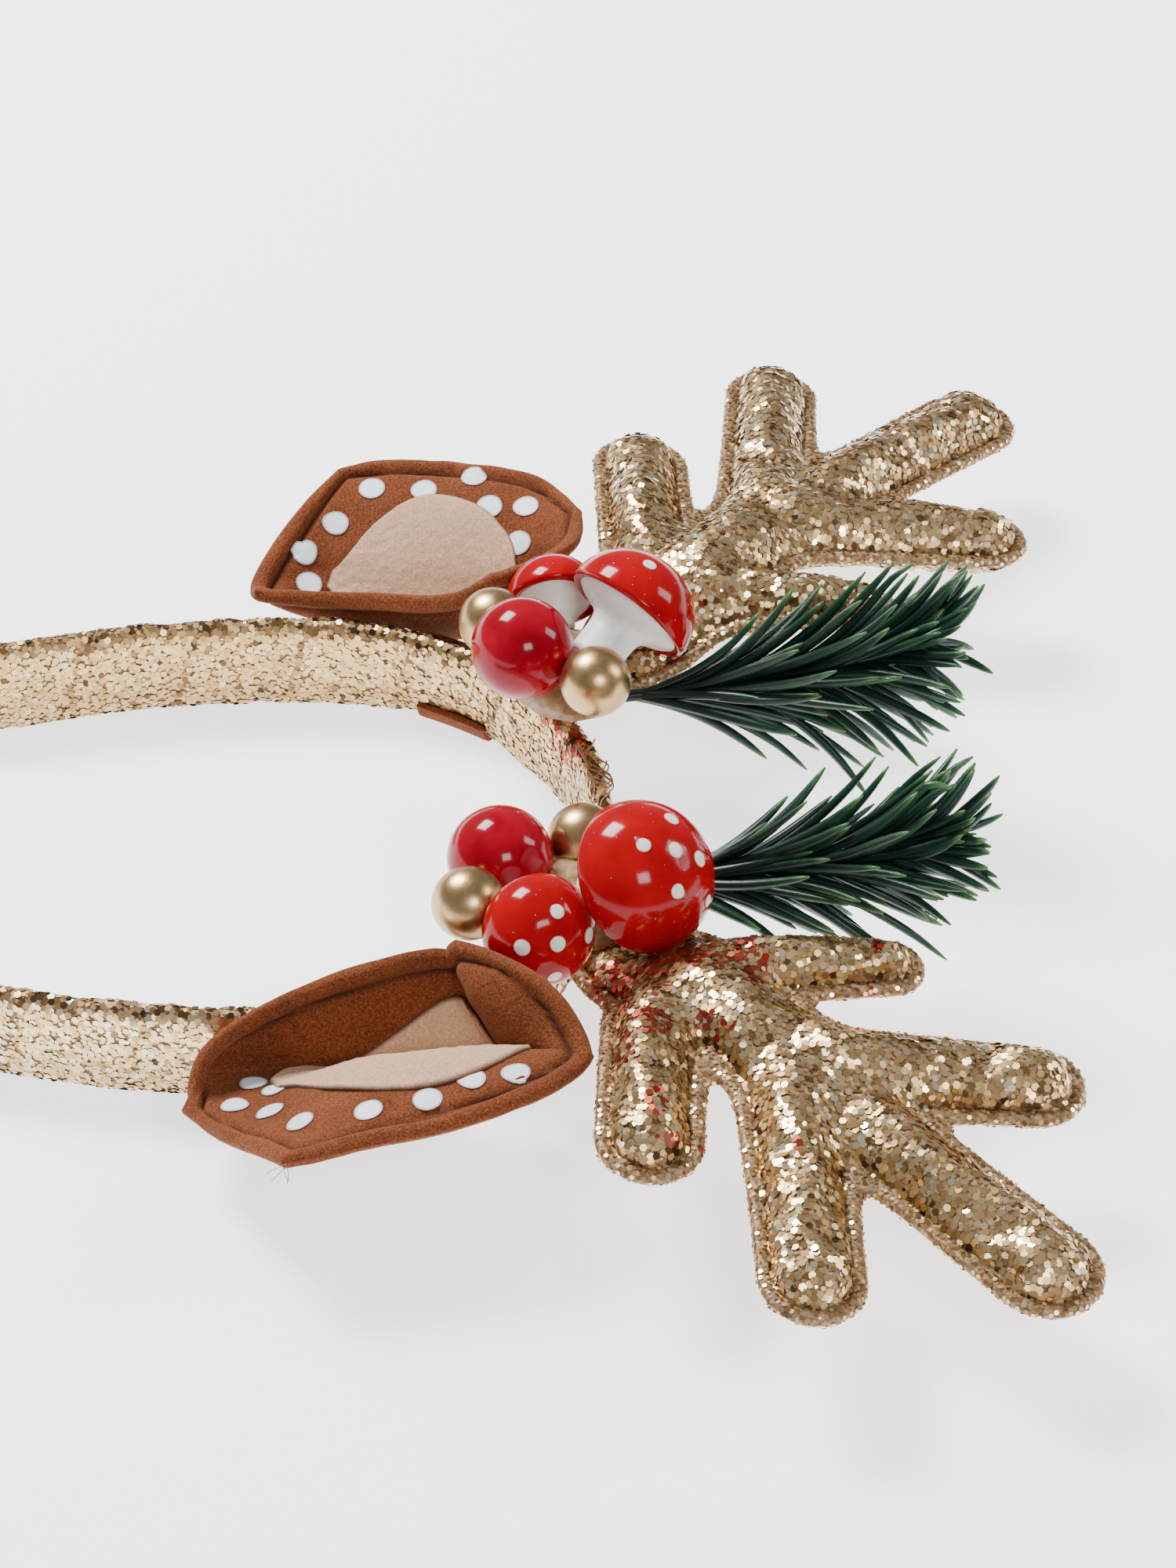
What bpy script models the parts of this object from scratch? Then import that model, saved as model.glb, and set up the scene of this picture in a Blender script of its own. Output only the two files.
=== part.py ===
"""Reindeer antler headband, lying on its back on a table.

The crown points along +X, the wearer's left side is -Y and the wearer's front is +Z.
All lengths are in metres. Places are measured from the middle of the band's widest line
until the last step, which puts the whole headband's box centre over the origin.
"""

import math

import bmesh
import bpy
import numpy as np
from mathutils import Matrix, Vector

# Clearances
GAP = 0.0003
HUG_GAP = 0.0004

# Band, a flat hoop padded and wrapped in glitter cloth
BAND_WIDTH = 0.020
BAND_THICKNESS = 0.005
BAND_HALF_SPAN = 0.058
BAND_CROWN_RISE = 0.0607
BAND_LEG_LENGTH = 0.070
BAND_LEG_CLOSE_IN = 0.0118
BAND_END_ROUND = 0.009
BAND_SECTION_POINTS = 10
BAND_CORNER_POWER = 0.72
BAND_ARC_STEPS = 34
BAND_LEG_STEPS = 9

# Antlers, two glitter faces sewn round the edge and stuffed
ANTLER_ROOT_ANGLE = 34.0
ANTLER_REACH = 0.096
ANTLER_SPREAD = 0.108
TINE_HALF_WIDTH = 0.0100
ANTLER_FLANGE = 0.0028
ANTLER_FLANGE_THICKNESS = 0.0022
ANTLER_THICKNESS = 0.0125
ANTLER_TRUNK_SWELL = 0.14
ANTLER_RISE_RUN = 0.0070
ANTLER_ROOT_THICKNESS = 0.0036
ANTLER_ROOT_RUN = 0.016
ANTLER_SWELL_RUN = 0.030
ANTLER_CLIMB_RUN = 0.040
ANTLER_MID_HEIGHT = 0.0335
ANTLER_DROP_X = 0.085
ANTLER_DROP_Y = 0.065
ANTLER_BLEND = 0.0022
ANTLER_GRID_STEP = 0.0060
ANTLER_WELD = 0.0011

# Ears, two layers of suede cloth sewn together and cupped lengthways
EAR_ANGLE = 60.0
EAR_LENGTH = 0.074
EAR_BREADTH = 0.052
EAR_DEPTH = 0.026
EAR_THICKNESS = 0.0024
EAR_STEPS_LONG = 13
EAR_STEPS_ACROSS = 10
PATCH_THICKNESS = 0.0010
PATCH_STEPS_LONG = (2, 3, 4, 5, 6, 7, 8)
PATCH_STEPS_ACROSS = (1, 2, 5, 6, 7)

# Tab of suede that holds each ear to the band
TAB_THICKNESS = 0.0011
TAB_ANGLES = (50.0, 66.0)
TAB_STEPS = 5
TAB_WRAP = (48.0, -150.0)
TAB_WRAP_STEPS = 12

# Round ornaments
BERRY_DIAMETER = 0.0200
BEAD_DIAMETER = 0.0138
SPHERE_RINGS = 8
SPHERE_SEGMENTS = 12

# Toadstools
SMALL_CAP_DIAMETER = 0.0206
BIG_CAP_DIAMETER = 0.0275
CAP_HEIGHT_SHARE = 0.44
CAP_LIP = 0.0011
SMALL_STEM_DIAMETER = 0.0072
BIG_STEM_DIAMETER = 0.0102
SMALL_STEM_LENGTH = 0.0068
BIG_STEM_LENGTH = 0.0125
CAP_SEGMENTS = 14

# Sprigs of moulded pine needles
SPRIG_LENGTH = 0.058
SPRIG_RISE = 0.0125
SPRIG_STEM_DIAMETER = 0.0026
SPRIG_NEEDLES = 30
NEEDLE_RADIUS = 0.00085
NEEDLE_SPREAD = 0.0178
NEEDLE_FORWARD = 0.0270
NEEDLE_STEPS = 3

# Bed of hot-melt glue under the ornaments
BED_RADII = (0.0120, 0.0132, 0.0078)

GOLDEN_ANGLE = math.radians(137.508)

SIDES = {"left": -1.0, "right": 1.0}

# Tines: start and end as shares of reach and spread from the root, half-widths as shares of TINE_HALF_WIDTH
TINES = [
    # name, x0, y0, x1, y1, w0, w1
    ("root", 0.060, 0.030, 0.205, 0.165, 0.82, 1.12),
    ("trunk", 0.205, 0.165, 0.425, 0.395, 1.20, 1.15),
    ("inner", 0.203, 0.330, 0.192, 0.625, 0.95, 0.97),
    ("tall", 0.455, 0.470, 0.483, 0.905, 1.00, 0.96),
    ("slant", 0.600, 0.570, 0.905, 0.850, 1.00, 1.07),
    ("outer", 0.500, 0.440, 0.915, 0.450, 1.05, 0.94),
    ("low", 0.300, 0.215, 0.655, 0.195, 0.95, 0.66),
]

# Ear stations from the cut end to the root: shares of length, breadth and depth from the ear's anchor
EAR_STATIONS = [
    # rim x, y, z, valley x, y, z, shoulder x, y, z, edge x, y, z
    (-0.620, 0.530, -0.060, -0.560, 0.680, 0.060, -0.480, 0.820, 0.220, -0.355, 1.030, 0.470),
    (-0.540, 0.330, 0.180, -0.455, 0.490, -0.080, -0.385, 0.650, 0.210, -0.255, 1.015, 0.500),
    (-0.345, 0.165, 0.400, -0.300, 0.340, -0.220, -0.240, 0.510, 0.200, -0.120, 0.965, 0.510),
    (-0.150, 0.119, 0.570, -0.130, 0.290, -0.240, -0.085, 0.480, 0.220, 0.045, 0.900, 0.530),
    (-0.030, 0.082, 0.660, 0.030, 0.250, -0.220, 0.075, 0.450, 0.240, 0.205, 0.800, 0.550),
    (0.060, 0.089, 0.720, 0.165, 0.270, -0.060, 0.220, 0.450, 0.380, 0.315, 0.690, 0.560),
    (0.120, 0.170, 0.800, 0.235, 0.300, 0.780, 0.320, 0.390, 0.720, 0.370, 0.550, 0.570),
]
EAR_STRETCH = {-1.0: 1.0, 1.0: 0.95}

# Ornament directions from the berry, or from the antler root: unit vectors are made from these
ORNAMENTS = {
    "left": {
        "berry": (-0.0088, -0.0037, 0.0117),
        "bead_a": (-0.32, 0.93, 0.17),
        "bead_b": (0.895, -0.43, -0.10),
        "small_cap": (-0.0014, 0.0182, 0.0133),
        "small_axis": (0.25, 0.86, 0.46),
        "small_size": 1.03,
        "big_cap": (0.0172, 0.0091, 0.0182),
        "big_axis": (0.62, 0.43, 0.65),
        "big_size": 1.045,
    },
    "right": {
        "berry": (-0.0052, -0.0045, 0.0167),
        "bead_a": (-0.34, 0.88, -0.32),
        "bead_b": (0.83, -0.56, -0.035),
        "small_cap": (0.0009, 0.0199, 0.0098),
        "small_axis": (-0.10, 0.94, 0.32),
        "small_size": 0.92,
        "big_cap": (0.0158, 0.0061, 0.0173),
        "big_axis": (0.59, 0.66, 0.45),
        "big_size": 0.965,
    },
}


def clear_scene():
    """Take away what the new file brought."""
    for old in list(bpy.data.objects):
        bpy.data.objects.remove(old, do_unlink=True)


def make_material(name, colour, roughness, metallic=0.0):
    """One plain finish."""
    material = bpy.data.materials.new(name)
    material.use_nodes = True
    shader = material.node_tree.nodes["Principled BSDF"]
    shader.inputs["Base Color"].default_value = (*colour, 1.0)
    shader.inputs["Roughness"].default_value = roughness
    shader.inputs["Metallic"].default_value = metallic
    material.diffuse_color = (*colour, 1.0)
    return material


def add_piece(name, bm, finish, root, smooth_angle=40.0):
    """Turn a bmesh into a named, shaded object under the headband's empty."""
    bmesh.ops.recalc_face_normals(bm, faces=bm.faces[:])
    mesh = bpy.data.meshes.new(name)
    bm.to_mesh(mesh)
    bm.free()
    mesh.shade_smooth()
    mesh.set_sharp_from_angle(angle=math.radians(smooth_angle))
    piece = bpy.data.objects.new(name, mesh)
    mesh.materials.append(finish.copy())
    mesh.materials[0].name = f"{name}_{finish.name}"
    bpy.context.scene.collection.objects.link(piece)
    piece.parent = root
    return piece


def hide_cutter(piece):
    """Keep a helper out of the finished model."""
    piece.hide_render = True
    piece.display_type = "WIRE"


def sweep(rings):
    """A solid bridged from ring to ring, closed at both ends."""
    bm = bmesh.new()
    before = None
    for ring in rings:
        verts = [bm.verts.new(place) for place in ring]
        edges = [bm.edges.new(pair) for pair in zip(verts, verts[1:] + verts[:1])]
        if before:
            bmesh.ops.bridge_loops(bm, edges=before + edges)
        before = edges
    bmesh.ops.holes_fill(bm, edges=[edge for edge in bm.edges if edge.is_boundary])
    return bm


def smooth_step(value):
    """0 below 0, 1 above 1 and a soft curve between."""
    value = min(max(value, 0.0), 1.0)
    return value * value * (3.0 - 2.0 * value)


def spline(values, place):
    """Catmull-Rom curve through the values, place from 0 to 1."""
    values = np.asarray(values, float)
    last = len(values) - 1
    scaled = min(max(place, 0.0), 1.0) * last
    start = min(int(scaled), last - 1)
    t = scaled - start
    before = values[max(start - 1, 0)]
    first, second = values[start], values[start + 1]
    after = values[min(start + 2, last)]
    return 0.5 * (
        2.0 * first
        + (second - before) * t
        + (2.0 * before - 5.0 * first + 4.0 * second - after) * t**2
        + (3.0 * first - before - 3.0 * second + after) * t**3
    )


# Band

def arc_point(angle):
    """Centreline point and outward direction at an angle in degrees from the crown."""
    turn = math.radians(angle)
    point = Vector((BAND_CROWN_RISE * math.cos(turn), BAND_HALF_SPAN * math.sin(turn), 0.0))
    outward = Vector((math.cos(turn) / BAND_CROWN_RISE, math.sin(turn) / BAND_HALF_SPAN, 0.0))
    return point, outward.normalized()


def leg_point(share, side):
    """Centreline point and outward direction on a leg, share 0 at the widest line and 1 at the tip."""
    point = Vector((
        -BAND_LEG_LENGTH * share,
        side * (BAND_HALF_SPAN - BAND_LEG_CLOSE_IN * share**2),
        0.0,
    ))
    slope = 2.0 * BAND_LEG_CLOSE_IN * share / BAND_LEG_LENGTH
    return point, Vector((-slope, side, 0.0)).normalized()


def tab_seat(angle):
    """How far the band's lower edge is pressed up where the ear tab passes under it."""
    middle = 0.5 * (TAB_ANGLES[0] + TAB_ANGLES[1])
    half = 0.5 * (TAB_ANGLES[1] - TAB_ANGLES[0])
    depth = TAB_THICKNESS + 2.0 * GAP
    return depth * smooth_step(2.0 - abs(abs(angle) - middle) / (half + 1.0))


def band_oval(turn, grow=0.0):
    """Offset outward, and share of the half width upward, of the band's section at a turn in radians."""
    across = math.copysign(abs(math.cos(turn)) ** BAND_CORNER_POWER, math.cos(turn))
    upward = math.copysign(abs(math.sin(turn)) ** BAND_CORNER_POWER, math.sin(turn))
    return across * (0.5 * BAND_THICKNESS + grow), upward


def band_ring(point, outward, lift=0.0, height_share=1.0, thickness_share=1.0):
    """One section of the band."""
    half = 0.5 * (BAND_WIDTH - lift)
    middle = lift + half
    ring = []
    for i in range(BAND_SECTION_POINTS):
        turn = 2.0 * math.pi * (i + 0.5) / BAND_SECTION_POINTS
        across, upward = band_oval(turn)
        place = point + outward * across * thickness_share
        ring.append(place + Vector((0.0, 0.0, middle + upward * half * height_share)))
    return ring


def leg_rings(side):
    """Sections of one leg from just behind the widest line to its rounded tip."""
    rings = []
    end_share = BAND_END_ROUND / BAND_LEG_LENGTH
    shares = [i / BAND_LEG_STEPS * (1.0 - end_share) for i in range(1, BAND_LEG_STEPS + 1)]
    shares += [1.0 - end_share * rest for rest in (0.55, 0.22, 0.0)]
    for share in shares:
        point, outward = leg_point(share, side)
        rest = min((1.0 - share) / end_share, 1.0)
        height = max(math.sqrt(1.0 - (1.0 - rest) ** 2), 0.28)
        thickness = 0.55 + 0.45 * rest
        rings.append(band_ring(point, outward, 0.0, height, thickness))
    return rings


def make_band(finish, root):
    """The whole hoop from the left tip over the crown to the right tip."""
    rings = leg_rings(-1.0)[::-1]
    for i in range(BAND_ARC_STEPS + 1):
        angle = -90.0 + 180.0 * i / BAND_ARC_STEPS
        point, outward = arc_point(angle)
        rings.append(band_ring(point, outward, tab_seat(angle)))
    rings += leg_rings(1.0)
    return add_piece("band", sweep(rings), finish, root)


def make_tab(name, side, finish, root):
    """Strip of suede round the band's outer face and lower edge, which the ear is glued to."""
    rings = []
    for i in range(TAB_STEPS + 1):
        angle = side * (TAB_ANGLES[0] + (TAB_ANGLES[1] - TAB_ANGLES[0]) * i / TAB_STEPS)
        point, outward = arc_point(angle)
        lift = TAB_THICKNESS + 2.0 * GAP
        half = 0.5 * (BAND_WIDTH - lift)
        walls = []
        for grow in (GAP, GAP + TAB_THICKNESS):
            wall = []
            for j in range(TAB_WRAP_STEPS + 1):
                share = j / TAB_WRAP_STEPS
                turn = math.radians(TAB_WRAP[0] + (TAB_WRAP[1] - TAB_WRAP[0]) * share)
                across, upward = band_oval(turn, grow)
                height = lift + half + upward * (half + grow)
                wall.append(point + outward * across + Vector((0.0, 0.0, height)))
            walls.append(wall)
        rings.append(walls[0] + walls[1][::-1])
    return add_piece(name, sweep(rings), finish, root)


# Antlers

def antler_root(side):
    """Where the antler's base lies on the band's front edge."""
    point, _ = arc_point(ANTLER_ROOT_ANGLE)
    return Vector((point.x, side * point.y, BAND_WIDTH + GAP))


def antler_field(x, y):
    """Signed distance to the antler's outline, negative inside, in the antler's own plane from its root."""
    nearest = []
    for _, x0, y0, x1, y1, w0, w1 in TINES:
        start = np.array((x0 * ANTLER_REACH, y0 * ANTLER_SPREAD))
        run = np.array((x1 * ANTLER_REACH, y1 * ANTLER_SPREAD)) - start
        offset = np.array((x, y)) - start
        share = min(max(float(offset @ run) / float(run @ run), 0.0), 1.0)
        width = TINE_HALF_WIDTH * (w0 + (w1 - w0) * share)
        nearest.append(float(np.linalg.norm(offset - share * run)) - width)
    low = min(nearest)
    total = sum(math.exp(-(value - low) / ANTLER_BLEND) for value in nearest)
    return low - ANTLER_BLEND * math.log(total)


def antler_heights(x, y):
    """Height of the antler's middle above its root and half its thickness, at a place in its plane."""
    depth = max(-antler_field(x, y), 0.0)
    from_root = math.hypot(x, y)
    stuffed = smooth_step((from_root - ANTLER_ROOT_RUN) / ANTLER_SWELL_RUN)
    climbed = smooth_step((from_root - ANTLER_ROOT_RUN) / ANTLER_CLIMB_RUN)
    share = min(max((depth - ANTLER_FLANGE) / ANTLER_RISE_RUN, 0.0), 1.0)
    swell = 0.5 * (ANTLER_THICKNESS - ANTLER_FLANGE_THICKNESS) * math.sqrt(1.0 - (1.0 - share) ** 2)
    swell += ANTLER_TRUNK_SWELL * max(depth - ANTLER_FLANGE - ANTLER_RISE_RUN, 0.0)
    flat = 0.5 * (ANTLER_ROOT_THICKNESS - ANTLER_FLANGE_THICKNESS) * min(share * 2.0, 1.0)
    half = 0.5 * ANTLER_FLANGE_THICKNESS + flat + (swell - flat) * stuffed
    free_middle = ANTLER_MID_HEIGHT - BAND_WIDTH - GAP - ANTLER_DROP_X * x - ANTLER_DROP_Y * y
    root_middle = min(half, 0.5 * ANTLER_ROOT_THICKNESS)
    return root_middle + (free_middle - root_middle) * climbed, half


def make_antler(name, side, finish, root):
    """The outline is where a sheet raised to the outline's distance field meets the zero plane."""
    low = np.array((-0.25 * ANTLER_REACH, -0.25 * ANTLER_SPREAD))
    high = np.array((1.10 * ANTLER_REACH, 1.15 * ANTLER_SPREAD))
    steps = [max(int(round(length / ANTLER_GRID_STEP)), 4) for length in high - low]
    bm = bmesh.new()
    bmesh.ops.create_grid(bm, x_segments=steps[0], y_segments=steps[1], size=1.0)
    for vert in bm.verts:
        x, y = low + (high - low) * (np.array(vert.co[:2]) + 1.0) / 2.0
        vert.co = (x, y, antler_field(x, y))
    bmesh.ops.triangulate(bm, faces=bm.faces[:])
    geometry = bm.verts[:] + bm.edges[:] + bm.faces[:]
    bmesh.ops.bisect_plane(
        bm, geom=geometry, dist=1e-7, plane_co=(0, 0, 0), plane_no=(0, 0, 1), clear_outer=True
    )
    geometry = bm.verts[:] + bm.edges[:] + bm.faces[:]
    bmesh.ops.bisect_plane(
        bm, geom=geometry, dist=1e-7, plane_co=(0, 0, -ANTLER_FLANGE), plane_no=(0, 0, 1)
    )
    for vert in bm.verts:
        vert.co.z = 0.0
    bmesh.ops.remove_doubles(bm, verts=bm.verts[:], dist=ANTLER_WELD)
    bmesh.ops.triangulate(bm, faces=bm.faces[:])
    made = bmesh.ops.extrude_face_region(bm, geom=bm.faces[:])["geom"]
    upper = {item for item in made if isinstance(item, bmesh.types.BMVert)}
    base = antler_root(side)
    for vert in bm.verts:
        x, y = vert.co.x, vert.co.y
        middle, half = antler_heights(x, y)
        height = middle + half if vert in upper else middle - half
        vert.co = (base.x + x, base.y + side * y, base.z + height)
    return add_piece(name, bm, finish, root, 60.0)


# Ears

def ear_anchor(side):
    """Point over the band's front edge that the ear's table is measured from."""
    point, _ = arc_point(EAR_ANGLE)
    return Vector((point.x, side * point.y, BAND_WIDTH - BAND_THICKNESS))


def ear_surface(along, across, side):
    """Point of the ear's middle surface: along from the cut end to the root, across from rim to edge."""
    columns = []
    for k in range(4):
        stations = [row[3 * k:3 * k + 3] for row in EAR_STATIONS]
        columns.append(spline(stations, along))
    share = spline(columns, across)
    return ear_anchor(side) + Vector((
        share[0] * EAR_LENGTH * EAR_STRETCH[side],
        side * share[1] * EAR_BREADTH,
        share[2] * EAR_DEPTH,
    ))


def ear_normal(along, across, side):
    """Direction out of the ear's hollow."""
    step = 0.01
    ahead = ear_surface(min(along + step, 1.0), across, side)
    behind = ear_surface(max(along - step, 0.0), across, side)
    beyond = ear_surface(along, min(across + step, 1.0), side)
    before = ear_surface(along, max(across - step, 0.0), side)
    normal = (ahead - behind).cross(beyond - before) * side
    return normal.normalized()


def ear_layer(name, side, steps_long, steps_across, inside, outside, finish, root):
    """A layer of cloth over some of the ear's steps, between two distances from its middle surface."""
    bm = bmesh.new()
    columns = []
    for i in steps_long:
        column = []
        for j in steps_across:
            along, across = i / EAR_STEPS_LONG, j / EAR_STEPS_ACROSS
            middle, normal = ear_surface(along, across, side), ear_normal(along, across, side)
            column.append([bm.verts.new(middle + normal * reach) for reach in (outside, inside)])
        columns.append(column)
    for level in (0, 1):
        for left, right in zip(columns, columns[1:]):
            for k in range(len(left) - 1):
                bm.faces.new((left[k][level], right[k][level], right[k + 1][level], left[k + 1][level]))
    rim = [column[0] for column in columns] + columns[-1][1:]
    rim += [column[-1] for column in columns[-2::-1]] + columns[0][-2:0:-1]
    for first, second in zip(rim, rim[1:] + rim[:1]):
        bm.faces.new((first[0], second[0], second[1], first[1]))
    bmesh.ops.triangulate(bm, faces=bm.faces[:], quad_method="FIXED")
    return add_piece(name, bm, finish, root, 60.0)


def make_ear(side_name, finishes, root):
    """The cupped ear and the pale patch in its hollow."""
    side = SIDES[side_name]
    ear_layer(
        f"ear_{side_name}", side, range(EAR_STEPS_LONG + 1), range(EAR_STEPS_ACROSS + 1),
        0.5 * EAR_THICKNESS, -0.5 * EAR_THICKNESS, finishes["suede"], root,
    )
    under = 0.5 * EAR_THICKNESS + HUG_GAP
    ear_layer(
        f"ear_patch_{side_name}", side, PATCH_STEPS_LONG, PATCH_STEPS_ACROSS,
        under + PATCH_THICKNESS, under, finishes["fleece"], root,
    )


# Ornaments

def sphere(radius, centre):
    """A bead-like ball."""
    bm = bmesh.new()
    bmesh.ops.create_uvsphere(
        bm, u_segments=SPHERE_SEGMENTS, v_segments=SPHERE_RINGS, radius=radius,
        matrix=Matrix.Translation(centre),
    )
    return bm


def turned(profile, place, axis):
    """A closed profile of radius and height pairs spun round an axis that starts at place."""
    bm = bmesh.new()
    verts = [bm.verts.new((radius, 0.0, height)) for radius, height in profile]
    edges = [bm.edges.new(pair) for pair in zip(verts, verts[1:])]
    bmesh.ops.spin(
        bm, geom=verts + edges, cent=(0, 0, 0), axis=(0, 0, 1), angle=2.0 * math.pi,
        steps=CAP_SEGMENTS, use_merge=True, use_duplicate=False,
    )
    bmesh.ops.remove_doubles(bm, verts=bm.verts[:], dist=1e-6)
    turn = Vector((0.0, 0.0, 1.0)).rotation_difference(Vector(axis)).to_matrix().to_4x4()
    bmesh.ops.transform(bm, matrix=Matrix.Translation(place) @ turn, verts=bm.verts[:])
    return bm


def cap_profile(diameter):
    """Half section of a toadstool cap: dome, rolled lip and a slightly hollow underside."""
    radius = 0.5 * diameter
    height = CAP_HEIGHT_SHARE * diameter
    dome = []
    for i in range(6):
        turn = 0.5 * math.pi * i / 5
        dome.append((radius * math.sin(turn), height * math.cos(turn)))
    return dome + [(radius - CAP_LIP, -CAP_LIP), (0.45 * radius, 0.0), (0.0, 0.0)]


def stem_profile(cap_diameter, stem_diameter, length, grow=0.0):
    """Half section of a stem that flares out under its cap."""
    reach = 0.5 * cap_diameter - 2.0 * CAP_LIP
    radius = 0.5 * stem_diameter + grow
    return [
        (0.0, -GAP),
        (0.42 * reach, -GAP),
        (reach, -CAP_LIP - GAP - grow),
        (0.80 * reach, -1.7 * CAP_LIP - grow),
        (radius + 0.6 * CAP_LIP, -3.6 * CAP_LIP - grow),
        (radius, -5.4 * CAP_LIP - grow),
        (radius, -length),
        (0.82 * radius, -length - grow - 0.5 * CAP_LIP),
        (0.0, -length - grow - 0.5 * CAP_LIP),
    ]


def mirrored(numbers, side):
    """A place or direction given for the +Y side, on the side asked for."""
    return Vector((numbers[0], side * numbers[1], numbers[2]))


def ornament_places(side_name):
    """Where each ornament sits, from the antler's root and the sizes of the ornaments that it touches."""
    side = SIDES[side_name]
    table = ORNAMENTS[side_name]
    start = antler_root(side)
    berry = start + mirrored(table["berry"], side)
    reach = 0.5 * (BERRY_DIAMETER + BEAD_DIAMETER) + GAP
    return {
        "berry": berry,
        "bead_a": berry + mirrored(table["bead_a"], side).normalized() * reach,
        "bead_b": berry + mirrored(table["bead_b"], side).normalized() * reach,
        "small_cap": start + mirrored(table["small_cap"], side),
        "big_cap": start + mirrored(table["big_cap"], side),
        "small_axis": mirrored(table["small_axis"], side).normalized(),
        "big_axis": mirrored(table["big_axis"], side).normalized(),
        "small_size": table["small_size"],
        "big_size": table["big_size"],
    }


def make_ornaments(side_name, finishes, root):
    """Berry, two gold beads and two toadstools, bedded in glue on the antler's root."""
    side = SIDES[side_name]
    places = ornament_places(side_name)
    add_piece(
        f"berry_{side_name}", sphere(0.5 * BERRY_DIAMETER, places["berry"]),
        finishes["berry"], root, 80.0,
    )
    for bead in ("bead_a", "bead_b"):
        add_piece(
            f"gold_{bead}_{side_name}", sphere(0.5 * BEAD_DIAMETER, places[bead]),
            finishes["gold"], root, 80.0,
        )
    toadstools = (
        ("small", SMALL_CAP_DIAMETER, SMALL_STEM_DIAMETER, SMALL_STEM_LENGTH),
        ("big", BIG_CAP_DIAMETER, BIG_STEM_DIAMETER, BIG_STEM_LENGTH),
    )
    cutters = bpy.data.collections.new(f"bed_cutters_{side_name}")
    bpy.context.scene.collection.children.link(cutters)
    for size, cap, stem, length in toadstools:
        cap *= places[f"{size}_size"]
        place, axis = places[f"{size}_cap"], places[f"{size}_axis"]
        add_piece(
            f"toadstool_cap_{size}_{side_name}", turned(cap_profile(cap), place, axis),
            finishes["cap"], root, 50.0,
        )
        add_piece(
            f"toadstool_stem_{size}_{side_name}",
            turned(stem_profile(cap, stem, length), place, axis), finishes["stem"], root, 50.0,
        )
        cutter = add_piece(
            f"cut_stem_{size}_{side_name}",
            turned(stem_profile(cap, stem, length, GAP), place, axis), finishes["stem"], root,
        )
        move_to(cutter, cutters)
    for ball, diameter in (("berry", BERRY_DIAMETER), ("bead_a", BEAD_DIAMETER), ("bead_b", BEAD_DIAMETER)):
        cutter = add_piece(
            f"cut_{ball}_{side_name}", sphere(0.5 * diameter + GAP, places[ball]),
            finishes["berry"], root,
        )
        move_to(cutter, cutters)
    cutter = add_piece(
        f"cut_sprig_{side_name}", sprig_stem(side, GAP), finishes["pine"], root
    )
    move_to(cutter, cutters)
    make_bed(side_name, cutters, finishes, root)


def move_to(cutter, collection):
    """Hide a cutter and put it in the collection that a Boolean reads."""
    bpy.context.scene.collection.objects.unlink(cutter)
    collection.objects.link(cutter)
    hide_cutter(cutter)


def make_bed(side_name, cutters, finishes, root):
    """A low lump of glue on the antler's flat root, with a pocket for each thing set in it."""
    side = SIDES[side_name]
    base = antler_root(side)
    floor = ANTLER_ROOT_THICKNESS + GAP
    middle = base + Vector((0.0045, side * 0.0015, floor))
    bm = bmesh.new()
    scale = Matrix.Diagonal((*BED_RADII, 1.0))
    bmesh.ops.create_uvsphere(
        bm, u_segments=12, v_segments=6, radius=1.0, matrix=Matrix.Translation(middle) @ scale
    )
    cut = bmesh.ops.bisect_plane(
        bm, geom=bm.verts[:] + bm.edges[:] + bm.faces[:], plane_co=middle,
        plane_no=(0, 0, -1), clear_outer=True,
    )["geom_cut"]
    rim = [item for item in cut if isinstance(item, bmesh.types.BMEdge)]
    bmesh.ops.contextual_create(bm, geom=rim)
    bed = add_piece(f"glue_bed_{side_name}", bm, finishes["glue"], root)
    pockets = bed.modifiers.new("Pockets", "BOOLEAN")
    pockets.operation = "DIFFERENCE"
    pockets.operand_type = "COLLECTION"
    pockets.collection = cutters
    pockets.solver = "EXACT"
    return bed


# Sprigs

def sprig_line(share):
    """Point of the sprig's stem, from the root of the antler outward along +X, on the +Y side."""
    start = antler_root(1.0)
    radius = 0.5 * SPRIG_STEM_DIAMETER
    lift = ANTLER_ROOT_THICKNESS + GAP + radius
    return start + Vector((
        0.0120 + SPRIG_LENGTH * share,
        -0.0055 + 0.0030 * share,
        lift + SPRIG_RISE * share**1.6,
    ))


def sprig_stem(side, grow=0.0):
    """The sprig's stem as a tapering rod."""
    rings = []
    for i in range(8):
        share = i / 7
        middle = sprig_line(share)
        middle.x -= grow * (1.0 - share)
        radius = 0.5 * SPRIG_STEM_DIAMETER * (1.0 - 0.35 * share) + grow
        ring = []
        for j in range(6):
            turn = 2.0 * math.pi * j / 6
            ring.append(Vector((
                middle.x,
                side * (middle.y + radius * math.cos(turn)),
                middle.z + radius * math.sin(turn),
            )))
        rings.append(ring)
    return sweep(rings)


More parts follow.
